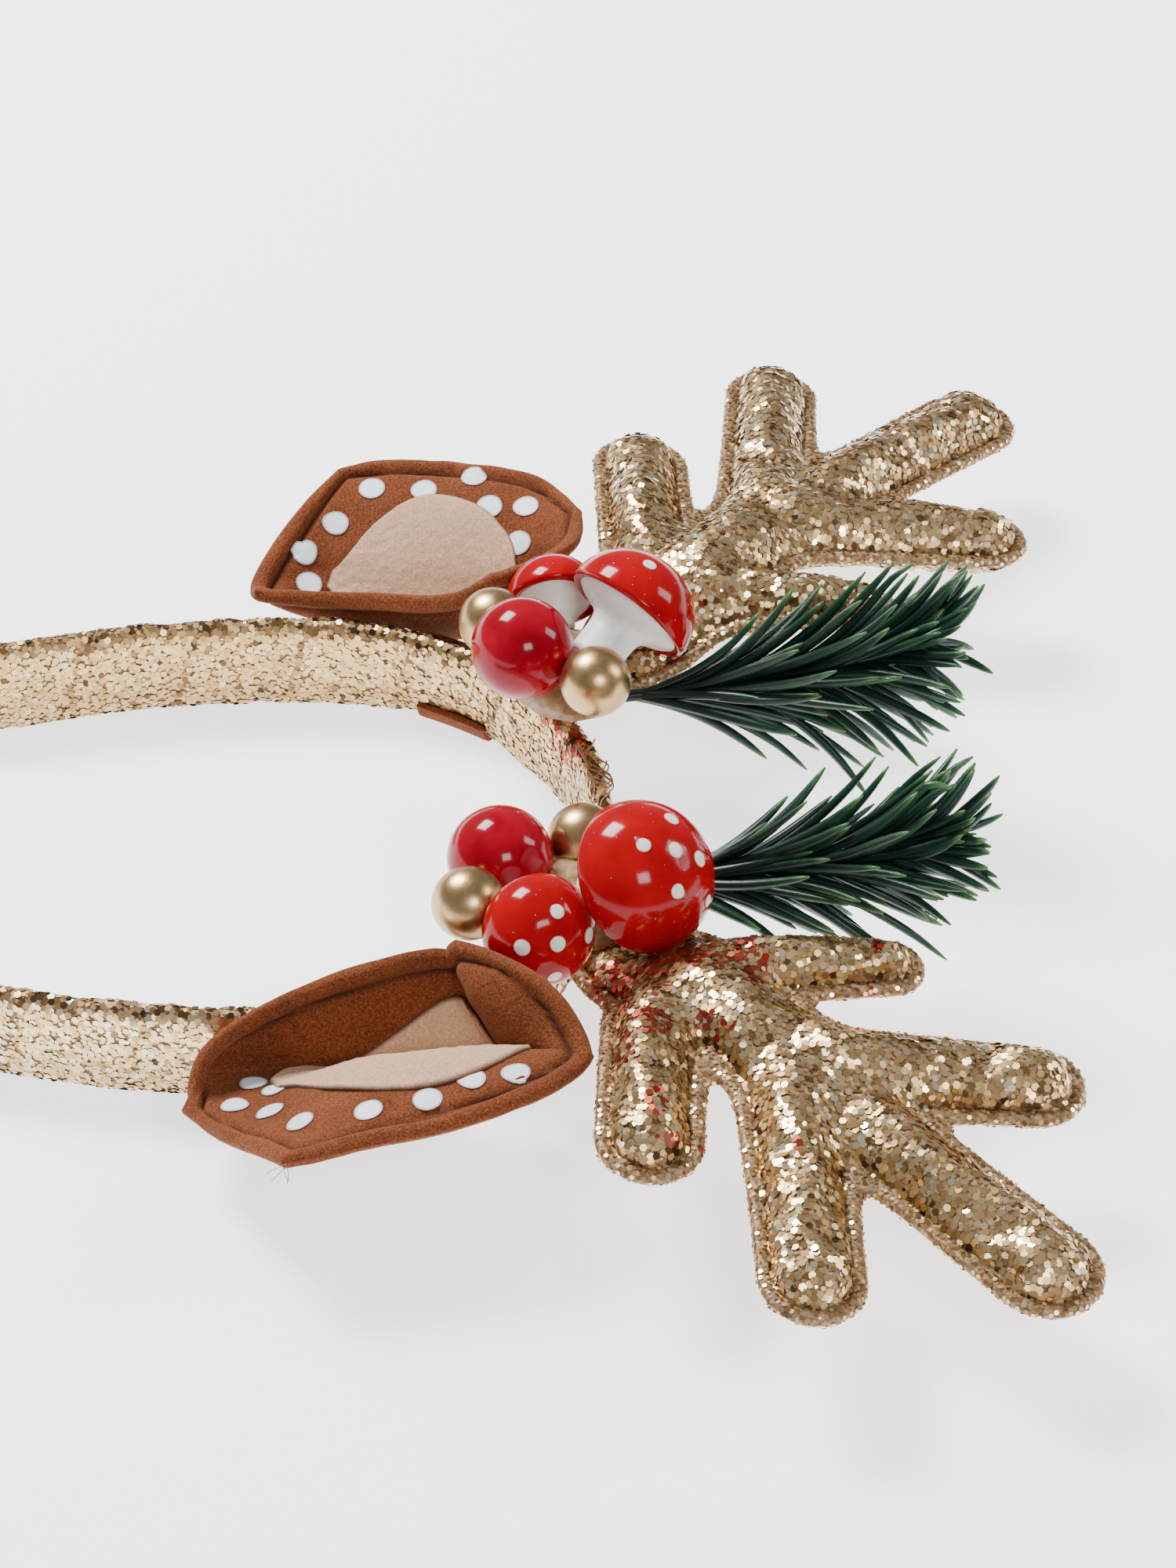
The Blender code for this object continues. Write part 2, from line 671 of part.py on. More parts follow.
def needle(index, side):
    """One curved needle that leaves the stem steeply and bends forward."""
    share = 0.16 + 0.80 * index / (SPRIG_NEEDLES - 1)
    turn = GOLDEN_ANGLE * index
    outward = Vector((0.0, math.cos(turn), math.sin(turn)))
    sideways = Vector((0.0, -math.sin(turn), math.cos(turn)))
    shorter = 1.0 - 0.45 * smooth_step((share - 0.55) / 0.45)
    spread = NEEDLE_SPREAD * shorter * (0.86 + 0.14 * math.cos(5.0 * index))
    forward = NEEDLE_FORWARD * (1.0 - 0.50 * smooth_step((share - 0.45) / 0.55))
    start = sprig_line(share)
    rings = []
    for i in range(NEEDLE_STEPS + 1):
        t = i / NEEDLE_STEPS
        place = start + outward * spread * (1.45 * t - 0.45 * t**2)
        place.x += forward * (0.45 * t + 0.55 * t**2)
        radius = NEEDLE_RADIUS * (1.0 - 0.72 * t**2)
        ring = []
        for j in range(3):
            spin = 2.0 * math.pi * j / 3
            across = outward * math.cos(spin) * 0.75 + sideways * math.sin(spin)
            corner = place + across * radius
            corner.x -= 0.5 * radius * math.cos(spin)
            ring.append(Vector((corner.x, side * corner.y, corner.z)))
        rings.append(ring)
    return sweep(rings)


def make_sprig(side_name, finish, root):
    """The stem with all its needles joined to it."""
    side = SIDES[side_name]
    needles = bpy.data.collections.new(f"needles_{side_name}")
    bpy.context.scene.collection.children.link(needles)
    for index in range(SPRIG_NEEDLES):
        piece = add_piece(f"needle_{side_name}_{index}", needle(index, side), finish, root)
        move_to(piece, needles)
    stem = add_piece(f"sprig_{side_name}", sprig_stem(side), finish, root, 50.0)
    joined = stem.modifiers.new("Needles", "BOOLEAN")
    joined.operation = "UNION"
    joined.operand_type = "COLLECTION"
    joined.collection = needles
    joined.solver = "EXACT"


def centre_on_origin(root):
    """Move the whole headband so that the middle of its box stands over the origin."""
    bpy.context.view_layer.update()
    graph = bpy.context.evaluated_depsgraph_get()
    corners = []
    for piece in bpy.context.scene.collection.all_objects:
        if piece.type != "MESH" or piece.hide_render:
            continue
        shape = piece.evaluated_get(graph)
        points = [shape.matrix_world @ vert.co for vert in shape.data.vertices]
        corners.append(np.min(points, axis=0))
        corners.append(np.max(points, axis=0))
    low, high = np.min(corners, axis=0), np.max(corners, axis=0)
    middle = 0.5 * (low + high)
    root.location = (-middle[0], -middle[1], -low[2])


def main():
    """Build the headband."""
    clear_scene()
    finishes = {
        "glitter": make_material("glitter_gold", (0.55, 0.40, 0.22), 0.35, 0.8),
        "suede": make_material("suede_brown", (0.33, 0.10, 0.03), 0.9),
        "fleece": make_material("fleece_beige", (0.60, 0.40, 0.25), 0.95),
        "berry": make_material("berry_red", (0.50, 0.002, 0.02), 0.12),
        "gold": make_material("satin_gold", (0.62, 0.45, 0.24), 0.32, 1.0),
        "cap": make_material("toadstool_red", (0.65, 0.004, 0.006), 0.12),
        "stem": make_material("toadstool_white", (0.85, 0.82, 0.80), 0.35),
        "pine": make_material("pine_green", (0.006, 0.045, 0.022), 0.3),
        "glue": make_material("clear_glue", (0.55, 0.42, 0.30), 0.3),
    }
    root = bpy.data.objects.new("headband", None)
    bpy.context.scene.collection.objects.link(root)
    make_band(finishes["glitter"], root)
    for side_name, side in SIDES.items():
        make_antler(f"antler_{side_name}", side, finishes["glitter"], root)
        make_ear(side_name, finishes, root)
        make_tab(f"ear_tab_{side_name}", side, finishes["suede"], root)
        make_ornaments(side_name, finishes, root)
        make_sprig(side_name, finishes["pine"], root)
    centre_on_origin(root)


main()
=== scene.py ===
"""Looks of the reindeer antler headband: glitter cloth, suede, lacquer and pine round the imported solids."""

import math

import bmesh
import bpy
import numpy as np
from mathutils import Matrix, Vector, noise
from mathutils.bvhtree import BVHTree


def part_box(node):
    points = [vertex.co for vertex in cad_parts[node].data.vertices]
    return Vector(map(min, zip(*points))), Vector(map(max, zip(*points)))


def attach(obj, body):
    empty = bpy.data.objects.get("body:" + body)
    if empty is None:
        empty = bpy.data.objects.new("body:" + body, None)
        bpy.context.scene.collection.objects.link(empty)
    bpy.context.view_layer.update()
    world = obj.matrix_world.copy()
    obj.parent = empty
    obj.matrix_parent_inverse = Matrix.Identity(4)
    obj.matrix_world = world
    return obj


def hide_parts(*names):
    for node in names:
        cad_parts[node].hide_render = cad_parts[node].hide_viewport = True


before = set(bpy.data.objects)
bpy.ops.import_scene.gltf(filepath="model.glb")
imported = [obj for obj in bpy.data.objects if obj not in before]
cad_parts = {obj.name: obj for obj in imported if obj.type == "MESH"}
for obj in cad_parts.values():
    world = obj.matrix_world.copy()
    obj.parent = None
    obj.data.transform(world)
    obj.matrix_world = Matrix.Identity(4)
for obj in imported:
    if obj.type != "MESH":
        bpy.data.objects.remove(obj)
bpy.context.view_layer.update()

MM = 0.001
SIDES = {"left": -1.0, "right": 1.0}

# Sizes shared with the solids
BAND_WIDTH = 0.020
BAND_THICKNESS = 0.005
HALF_SPAN = 0.058
CROWN_RISE = 0.0607
LEG_LENGTH = 0.070
LEG_CLOSE_IN = 0.0118
END_ROUND = 0.009
TAB_ANGLES = (50.0, 66.0)
TAB_THICKNESS = 0.0011
GAP = 0.0003
REACH = 0.096
SPREAD = 0.108
TINE_HALF_WIDTH = 0.0100
MID_HEIGHT = 0.0335
ROOT_ANGLE = 34.0
ROOT_THICKNESS = 0.0036
STEM_LENGTHS = {"small": 0.0068, "big": 0.0125}

# The crown's outer face stands 5.2 mm past the photograph's own zero
CROWN_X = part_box("band")[1].x
HOOP_X = CROWN_X - CROWN_RISE - 0.5 * BAND_THICKNESS
PHOTO_X = CROWN_X - 0.0052


def smooth_step(value):
    """0 below 0, 1 above 1 and a soft curve between, for numbers and arrays."""
    value = np.clip(value, 0.0, 1.0)
    return value * value * (3.0 - 2.0 * value)


def spline(values, place):
    """Catmull-Rom curve through the values, place from 0 to 1."""
    values = np.asarray(values, float)
    last = len(values) - 1
    scaled = min(max(place, 0.0), 1.0) * last
    start = min(int(scaled), last - 1)
    t = scaled - start
    before, first = values[max(start - 1, 0)], values[start]
    second, after = values[start + 1], values[min(start + 2, last)]
    return 0.5 * (
        2.0 * first
        + (second - before) * t
        + (2.0 * before - 5.0 * first + 4.0 * second - after) * t**2
        + (3.0 * first - before - 3.0 * second + after) * t**3
    )


def rounded(depth, radius):
    """Height share of an edge rounded over a radius, from the depths inside it."""
    return np.sqrt(1.0 - (1.0 - np.clip(depth / radius, 0.0, 1.0)) ** 2)


def line(depth, middle, width):
    """1 on a line at a depth inside the edge, fading over a width on both sides."""
    return np.exp(-(((depth - middle) / width) ** 2))


def stored(items, what, kind=float):
    """Three numbers that a mesh stores per item, as one row each."""
    values = np.empty(3 * len(items), kind)
    items.foreach_get(what, values)
    return values.reshape(-1, 3)


# Finishes


class Finish:
    """A material with short calls for the nodes that its colour and relief come from."""

    def __init__(self, name, colour, roughness, **sockets):
        self.material = bpy.data.materials.new(name)
        self.material.use_nodes = True
        self.nodes = self.material.node_tree.nodes
        self.links = self.material.node_tree.links
        self.shader = self.nodes["Principled BSDF"]
        self.shader.inputs["Base Color"].default_value = (*colour, 1.0)
        self.shader.inputs["Roughness"].default_value = roughness
        for socket, value in sockets.items():
            self.shader.inputs[socket.replace("_", " ")].default_value = value
        self.place = self.nodes.new("ShaderNodeTexCoord").outputs["Object"]

    def grain(self, scale, detail=3.0, roughness=0.55, stretch=None):
        """Noise on the object's own coordinates, scale in waves per metre."""
        node = self.nodes.new("ShaderNodeTexNoise")
        node.inputs["Scale"].default_value = scale
        node.inputs["Detail"].default_value = detail
        node.inputs["Roughness"].default_value = roughness
        source = self.place
        if stretch:
            mapping = self.nodes.new("ShaderNodeMapping")
            mapping.inputs["Scale"].default_value = stretch
            self.links.new(self.place, mapping.inputs["Vector"])
            source = mapping.outputs["Vector"]
        self.links.new(source, node.inputs["Vector"])
        return node.outputs["Fac"]

    def attribute(self, name):
        """A number that the mesh carries."""
        node = self.nodes.new("ShaderNodeAttribute")
        node.attribute_name = name
        return node.outputs["Fac"]

    def ramp(self, source, *stops):
        """Colours along a source, as pairs of place and colour."""
        node = self.nodes.new("ShaderNodeValToRGB")
        elements = node.color_ramp.elements
        while len(elements) < len(stops):
            elements.new(0.5)
        for element, (place, colour) in zip(elements, stops):
            element.position = place
            element.color = (*colour, 1.0)
        self.links.new(source, node.inputs["Fac"])
        return node.outputs["Color"]

    def blend(self, share, first, second, way="MIX"):
        """Two colours mixed by a share that varies over the surface."""
        node = self.nodes.new("ShaderNodeMix")
        node.data_type = "RGBA"
        node.blend_type = way
        if isinstance(share, float):
            node.inputs["Factor"].default_value = share
        else:
            self.links.new(share, node.inputs["Factor"])
        self.links.new(first, node.inputs["A"])
        if isinstance(second, tuple):
            node.inputs["B"].default_value = (*second, 1.0)
        else:
            self.links.new(second, node.inputs["B"])
        return node.outputs["Result"]

    def colour(self, source):
        """Give the shader its colour."""
        self.links.new(source, self.shader.inputs["Base Color"])

    def rough(self, source, low, high):
        """Roughness between two values along a source."""
        node = self.nodes.new("ShaderNodeMapRange")
        node.inputs["To Min"].default_value = low
        node.inputs["To Max"].default_value = high
        self.links.new(source, node.inputs["Value"])
        self.links.new(node.outputs["Result"], self.shader.inputs["Roughness"])

    def relief(self, *layers):
        """Bumps laid over each other, as triples of source, height in metres and strength."""
        last = None
        for source, height, strength in layers:
            node = self.nodes.new("ShaderNodeBump")
            node.inputs["Distance"].default_value = height
            node.inputs["Strength"].default_value = strength
            self.links.new(source, node.inputs["Height"])
            if last:
                self.links.new(last, node.inputs["Normal"])
            last = node.outputs["Normal"]
        self.links.new(last, self.shader.inputs["Normal"])


def make_glitter():
    """Champagne foil flakes: each flake carries its own tone and, near the lacquer, some red."""
    gold = Finish("glitter_flakes", (0.80, 0.62, 0.38), 0.30, Metallic=1.0)
    tones = gold.ramp(
        gold.attribute("tone"),
        (0.0, (0.060, 0.034, 0.018)),
        (0.16, (0.22, 0.125, 0.050)),
        (0.42, (0.57, 0.365, 0.150)),
        (0.72, (0.84, 0.63, 0.34)),
        (1.0, (0.98, 0.87, 0.66)),
    )
    gold.colour(gold.blend(gold.attribute("red"), tones, (0.42, 0.012, 0.012)))
    gold.rough(gold.attribute("tone"), 0.42, 0.22)
    return gold.material


def make_backing():
    """The bronze cloth that the flakes are glued to."""
    bronze = Finish("glitter_backing", (0.25, 0.14, 0.06), 0.55, Metallic=0.35)
    bronze.colour(bronze.ramp(
        bronze.grain(900.0),
        (0.3, (0.10, 0.05, 0.022)), (0.55, (0.34, 0.20, 0.09)), (0.75, (0.62, 0.43, 0.24)),
    ))
    bronze.relief((bronze.grain(1400.0), 0.0003, 0.7))
    return bronze.material


def make_suede():
    """Brown suede cloth with a short nap and a fine twill under it."""
    suede = Finish(
        "suede_brown", (0.36, 0.13, 0.045), 0.88,
        Sheen_Weight=0.12, Sheen_Roughness=0.45, Sheen_Tint=(1.0, 0.66, 0.45, 1.0), Specular_IOR_Level=0.2,
    )
    nap = suede.ramp(
        suede.grain(2600.0, 4.0, 0.7),
        (0.33, (0.060, 0.013, 0.004)), (0.5, (0.175, 0.045, 0.013)), (0.68, (0.31, 0.092, 0.029)),
    )
    patches = suede.ramp(
        suede.grain(75.0, 3.0, 0.5), (0.35, (0.80, 0.76, 0.72)), (0.65, (1.0, 1.0, 1.0))
    )
    darkened = suede.blend(1.0, nap, patches, "MULTIPLY")
    # Dark brown where the mesh's mark is high: painted shade along the ear's stitched groove
    suede.colour(suede.blend(suede.attribute("mark"), darkened, (0.045, 0.010, 0.003)))
    suede.relief(
        (suede.grain(1500.0, 2.0, 0.5, (1.0, 0.35, 1.0)), 0.00030, 0.65),
        (suede.grain(4200.0, 2.0, 0.6), 0.00016, 0.55),
    )
    return suede.material


def make_fleece():
    """Beige suede with longer fibres, which is sewn into the ear."""
    fleece = Finish(
        "fleece_beige", (0.62, 0.43, 0.29), 0.92,
        Sheen_Weight=0.2, Sheen_Roughness=0.5, Sheen_Tint=(1.0, 0.88, 0.76, 1.0), Specular_IOR_Level=0.2,
    )
    pile = fleece.ramp(
        fleece.grain(2100.0, 4.0, 0.7),
        (0.28, (0.41, 0.235, 0.136)), (0.5, (0.58, 0.365, 0.228)), (0.75, (0.72, 0.50, 0.335)),
    )
    # The mark darkens the patch along its edge
    fleece.colour(fleece.blend(fleece.attribute("mark"), pile, (0.10, 0.035, 0.015)))
    fleece.relief(
        (fleece.grain(900.0, 4.0, 0.65), 0.00035, 0.6),
        (fleece.grain(3800.0, 2.0, 0.6), 0.00015, 0.5),
    )
    return fleece.material


def make_dot_print():
    """Pale rubbery print with a thin grey-violet edge."""
    dots = Finish("dot_print", (0.80, 0.87, 0.92), 0.45)
    dots.colour(dots.ramp(
        dots.attribute("rim"),
        (0.0, (0.80, 0.87, 0.93)), (0.80, (0.78, 0.85, 0.92)),
        (0.90, (0.44, 0.40, 0.46)), (1.0, (0.30, 0.20, 0.20)),
    ))
    dots.relief((dots.grain(2600.0), 0.0001, 0.3))
    return dots.material


def make_lacquer(name, deep, bright, specks):
    """Glossy red lacquer over a slightly uneven ball, with a few pale specks of dust."""
    lacquer = Finish(name, bright, 0.12, Specular_IOR_Level=0.22)
    body = lacquer.ramp(lacquer.grain(160.0, 3.0, 0.5), (0.35, deep), (0.7, bright))
    if specks:
        dust = lacquer.ramp(lacquer.grain(1900.0, 1.0, 0.5), (0.775, (0.0,) * 3), (0.79, (1.0,) * 3))
        body = lacquer.blend(dust, body, (0.75, 0.60, 0.58))
    lacquer.colour(body)
    lacquer.relief((lacquer.grain(90.0, 1.0), 0.0003, 0.04))
    return lacquer.material


def make_satin_gold():
    """Satin champagne coat of the beads."""
    satin = Finish("satin_gold", (0.66, 0.47, 0.26), 0.30, Metallic=1.0)
    satin.colour(satin.ramp(
        satin.grain(220.0, 3.0), (0.3, (0.44, 0.28, 0.12)), (0.7, (0.58, 0.39, 0.19))
    ))
    satin.rough(satin.grain(900.0, 2.0), 0.24, 0.38)
    satin.relief((satin.grain(3200.0, 2.0), 0.00008, 0.25))
    return satin.material


def make_white_plastic():
    """Off-white foam of stems, a little dirty in places."""
    white = Finish("stem_white", (0.86, 0.84, 0.82), 0.34, Subsurface_Weight=0.15, Subsurface_Scale=0.002)
    white.colour(white.ramp(
        white.grain(210.0, 3.0),
        (0.25, (0.74, 0.70, 0.66)), (0.5, (0.86, 0.84, 0.82)), (0.8, (0.90, 0.89, 0.88)),
    ))
    white.relief((white.grain(600.0, 3.0), 0.0003, 0.35))
    return white.material


def make_spot_paint():
    """Thick off-white paint of the caps' spots with a dark edge."""
    paint = Finish("spot_paint", (0.83, 0.80, 0.74), 0.32)
    paint.colour(paint.ramp(
        paint.attribute("rim"),
        (0.0, (0.84, 0.80, 0.73)), (0.82, (0.80, 0.75, 0.67)),
        (0.93, (0.40, 0.14, 0.10)), (1.0, (0.22, 0.03, 0.03)),
    ))
    return paint.material


def make_pine():
    """Dark moulded needles that turn lighter at their tips."""
    pine = Finish("pine_green", (0.01, 0.06, 0.035), 0.34, Specular_IOR_Level=0.32)
    length = pine.ramp(
        pine.attribute("tip"),
        (0.0, (0.002, 0.011, 0.008)), (0.55, (0.004, 0.024, 0.015)),
        (0.88, (0.009, 0.050, 0.022)), (1.0, (0.09, 0.20, 0.06)),
    )
    patches = pine.ramp(pine.grain(260.0, 2.0), (0.3, (0.62, 0.68, 0.72)), (0.7, (1.0, 1.0, 1.0)))
    pine.colour(pine.blend(1.0, length, patches, "MULTIPLY"))
    pine.relief((pine.grain(700.0, 2.0, 0.5, (0.25, 1.0, 1.0)), 0.0002, 0.35))
    return pine.material


def make_glue():
    """Hot-melt glue, amber where it is thick."""
    glue = Finish("clear_glue", (0.48, 0.30, 0.14), 0.22, Transmission_Weight=0.35, IOR=1.48)
    glue.colour(glue.ramp(
        glue.grain(330.0, 3.0), (0.3, (0.26, 0.12, 0.045)), (0.7, (0.66, 0.47, 0.26))
    ))
    glue.relief((glue.grain(480.0, 3.0), 0.0006, 0.5))
    return glue.material


def make_thread():
    """Brown sewing thread."""
    thread = Finish("brown_thread", (0.30, 0.13, 0.06), 0.75)
    thread.colour(thread.ramp(thread.grain(1500.0), (0.3, (0.20, 0.08, 0.035)), (0.7, (0.42, 0.21, 0.10))))
    return thread.material


FLAKES = make_glitter()
BACKING = make_backing()
SUEDE = make_suede()
FLEECE = make_fleece()
DOT_PRINT = make_dot_print()
BERRY = make_lacquer("berry_lacquer", (0.24, 0.0003, 0.008), (0.34, 0.0006, 0.014), False)
CAP_RED = make_lacquer("cap_lacquer", (0.31, 0.0002, 0.0034), (0.40, 0.0003, 0.0048), True)
SATIN_GOLD = make_satin_gold()
STEM_WHITE = make_white_plastic()
SPOT_PAINT = make_spot_paint()
PINE = make_pine()
GLUE = make_glue()
THREAD = make_thread()


# Making pieces


def put(name, data):
    """A new object in the scene."""
    thing = bpy.data.objects.new(name, data)
    bpy.context.scene.collection.objects.link(thing)
    return thing


def add_piece(name, bm, material, slot, *nodes, smooth=60.0):
    """Turn a bmesh into a piece that rides on the headband and stands for its CAD nodes."""
    mesh = bpy.data.meshes.new(name)
    bm.to_mesh(mesh)
    bm.free()
    mesh.shade_smooth()
    if smooth < 180.0:
        mesh.set_sharp_from_angle(angle=math.radians(smooth))
    mesh.materials.append(material)
    piece = put(name, mesh)
    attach(piece, "root")
    if nodes:
        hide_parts(*nodes)
    return piece


def carry(piece, name, values):
    """Store a number per vertex under a name that a material reads."""
    layer = piece.data.attributes.new(name, "FLOAT", "POINT")
    layer.data.foreach_set("value", np.asarray(values, np.float32))


def tube(bm, place, along, around):
    """A skin with capped ends, from place(share along, turn in radians)."""
    verts = bmesh.ops.create_grid(bm, x_segments=along, y_segments=around, size=1.0)["verts"]
    for vert in verts:
        vert.co = place(0.5 * (vert.co.x + 1.0), math.pi * (vert.co.y + 1.0))
    bmesh.ops.remove_doubles(bm, verts=verts, dist=1e-7)
    verts = [vert for vert in verts if vert.is_valid]
    edges = {edge for vert in verts for edge in vert.link_edges if edge.is_boundary}
    faces = bmesh.ops.holes_fill(bm, edges=list(edges))["faces"]
    bmesh.ops.recalc_face_normals(bm, faces=list({f for v in verts for f in v.link_faces} | set(faces)))
    return verts


# No rod runs along this direction
ROD_SIDE = Vector((0.31, 0.22, 0.92))


def rod(bm, points, radius_of, around):
    """A round rod along points, with its radius from the share of its length."""
    points = [Vector(point) for point in points]

    def place(share, turn):
        spot = Vector(spline(points, share))
        ahead = Vector(spline(points, share + 0.01)) - Vector(spline(points, share - 0.01))
        side = ahead.cross(ROD_SIDE).normalized()
        up = side.cross(ahead).normalized()
        return spot + (side * math.cos(turn) + up * math.sin(turn)) * radius_of(share)

    return tube(bm, place, 3 * (len(points) - 1), around)


FLAKE_SIZE = 0.0015
FLAKE_LIFT = 0.00022
# Share of the full size, and how many of the flakes have it
FLAKE_SHARES = ((1.0, 0.62), (0.94, 0.2), (0.62, 0.12), (0.42, 0.06))
# Spots tried per square of the spacing, enough to fill the skin
FLAKE_TRIES = 3.2
FLOOR_CLEARANCE = 0.00003


def spaced(spots, spacing):
    """Indices of spots that keep their distance from all kept before them."""
    taken, kept = {}, []
    near = [(i, j, k) for i in (-1, 0, 1) for j in (-1, 0, 1) for k in (-1, 0, 1)]
    cells = np.floor(spots / spacing).astype(int)
    for index, (cell, here) in enumerate(zip(cells.tolist(), spots.tolist())):
        others = (taken.get((cell[0] + i, cell[1] + j, cell[2] + k)) for i, j, k in near)
        if not any(
            (other[0] - here[0]) ** 2 + (other[1] - here[1]) ** 2 + (other[2] - here[2]) ** 2 < spacing**2
            for other in others if other
        ):
            taken[tuple(cell)] = here
            kept.append(index)
    return kept


def retoned(tone, rng, chance, low, high):
    """Tones with a share of them, by chance, spread evenly between two values."""
    hit = rng.random(len(tone)) < chance
    return np.where(hit, rng.uniform(low, high, len(tone)), tone)


def scatter(name, skin, spacing, seed, tone_of, tilt):
    """Hexagonal foil flakes glued all over a skin, each a little tilted."""
    rng = np.random.default_rng(seed)
    mesh = skin.data
    mesh.calc_loop_triangles()
    corners = stored(mesh.loop_triangles, "vertices", kind=np.int32)
    directions = stored(mesh.vertices, "normal")
    triangle = stored(mesh.vertices, "co")[corners]
    area = 0.5 * np.linalg.norm(
        np.cross(triangle[:, 1] - triangle[:, 0], triangle[:, 2] - triangle[:, 0]), axis=1
    )
    count = int(FLAKE_TRIES * area.sum() / spacing**2)
    chosen = rng.choice(len(area), count, p=area / area.sum())
    share = np.sort(rng.random((count, 2)), axis=1)
    weight = np.stack([share[:, 0], share[:, 1] - share[:, 0], 1.0 - share[:, 1]], axis=1)
    spot = (triangle[chosen] * weight[:, :, None]).sum(1)
    normal = (directions[corners[chosen]] * weight[:, :, None]).sum(1)
    kept = spaced(spot, spacing)
    spot, normal = spot[kept], normal[kept]
    count = len(kept)
    normal += rng.normal(0.0, math.tan(math.radians(tilt)), (count, 3))
    normal /= np.linalg.norm(normal, axis=1)[:, None]
    side = np.cross(normal, rng.normal(size=(count, 3)))
    side /= np.linalg.norm(side, axis=1)[:, None]
    other = np.cross(normal, side)
    tone, red, grow = tone_of(spot, normal, rng)
    sizes, chances = zip(*FLAKE_SHARES)
    radius = 0.5 * FLAKE_SIZE * grow * rng.choice(sizes, count, p=chances)
    height = FLAKE_LIFT * (0.5 + rng.random(count))
    turns = np.arange(6) * math.pi / 3.0
    verts = (
        (spot + normal * height[:, None])[:, None, :]
        + side[:, None, :] * (np.cos(turns)[None, :] * radius[:, None])[:, :, None]
        + other[:, None, :] * (np.sin(turns)[None, :] * radius[:, None])[:, :, None]
    )
    verts[:, :, 2] = np.maximum(verts[:, :, 2], FLOOR_CLEARANCE)
    flakes = bpy.data.meshes.new(name)
    faces = np.arange(6 * count).reshape(-1, 6)
    flakes.from_pydata(verts.reshape(-1, 3).tolist(), [], faces.tolist())
    flakes.materials.append(FLAKES)
    piece = put(name, flakes)
    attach(piece, "root")
    carry(piece, "tone", np.repeat(tone, 6))
    carry(piece, "red", np.repeat(red, 6))


# Band


def arc_point(angle):
    """Centreline point and outward direction at an angle in degrees from the crown."""
    turn = math.radians(angle)
    point = Vector((HOOP_X + CROWN_RISE * math.cos(turn), HALF_SPAN * math.sin(turn), 0.0))
    outward = Vector((math.cos(turn) / CROWN_RISE, math.sin(turn) / HALF_SPAN, 0.0))
    return point, outward.normalized()


def leg_point(share, side):
    """Centreline point and outward direction on a leg, share 0 at the widest line and 1 at the tip."""
    point = Vector((HOOP_X - LEG_LENGTH * share, side * (HALF_SPAN - LEG_CLOSE_IN * share**2), 0.0))
    slope = 2.0 * LEG_CLOSE_IN * share / LEG_LENGTH
    return point, Vector((-slope, side, 0.0)).normalized()


# Lengths along the centreline, and how far one turn of the ribbon moves along it
LEG_RUN = 0.0712
ARC_RUN = 0.1865
BAND_RUN = 2.0 * LEG_RUN + ARC_RUN
WRAP_PITCH = 0.0225
# Below 1 the section is boxier than an ellipse
SECTION_POWER = 0.66


def boxy(turn, power):
    """Cosine and sine of a turn, pushed outwards by a power below 1."""
    across, upward = math.cos(turn), math.sin(turn)
    return math.copysign(abs(across) ** power, across), math.copysign(abs(upward) ** power, upward)


def band_place(share, turn):
    """A point of the wound band's skin."""
    run = share * BAND_RUN
    rest, lift = 1.0, 0.0
    if run < LEG_RUN or run > LEG_RUN + ARC_RUN:
        side = -1.0 if run < LEG_RUN else 1.0
        along = 1.0 - run / LEG_RUN if side < 0.0 else (run - LEG_RUN - ARC_RUN) / LEG_RUN
        point, outward = leg_point(along, side)
        rest = min((1.0 - along) * LEG_LENGTH / END_ROUND, 1.0)
    else:
        angle = -90.0 + 180.0 * (run - LEG_RUN) / ARC_RUN
        point, outward = arc_point(angle)
        middle = 0.5 * (TAB_ANGLES[0] + TAB_ANGLES[1])
        half = 0.5 * (TAB_ANGLES[1] - TAB_ANGLES[0])
        lift = (TAB_THICKNESS + 2.0 * GAP) * float(smooth_step(2.0 - abs(abs(angle) - middle) / (half + 1.0)))
    wrap = (run - WRAP_PITCH * turn / (2.0 * math.pi)) / WRAP_PITCH
    wrap -= math.floor(wrap)
    ridge = 0.00045 * wrap - 0.0003 + 0.0004 * math.exp(-((1.0 - wrap) / 0.05) ** 2)
    height = max(math.sqrt(1.0 - (1.0 - rest) ** 2), 0.12)
    across, upward = boxy(turn, SECTION_POWER)
    half = 0.5 * (BAND_WIDTH - lift)
    spot = point + outward * across * (0.5 * BAND_THICKNESS * (0.55 + 0.45 * rest) + ridge * rest)
    spot.z = lift + half + upward * half * height
    uneven = noise.noise_vector(spot * 160.0) * 0.00035 + noise.noise_vector(spot * 420.0) * 0.00018
    spot += uneven * rest
    spot.z = max(spot.z, 0.00015)
    return spot


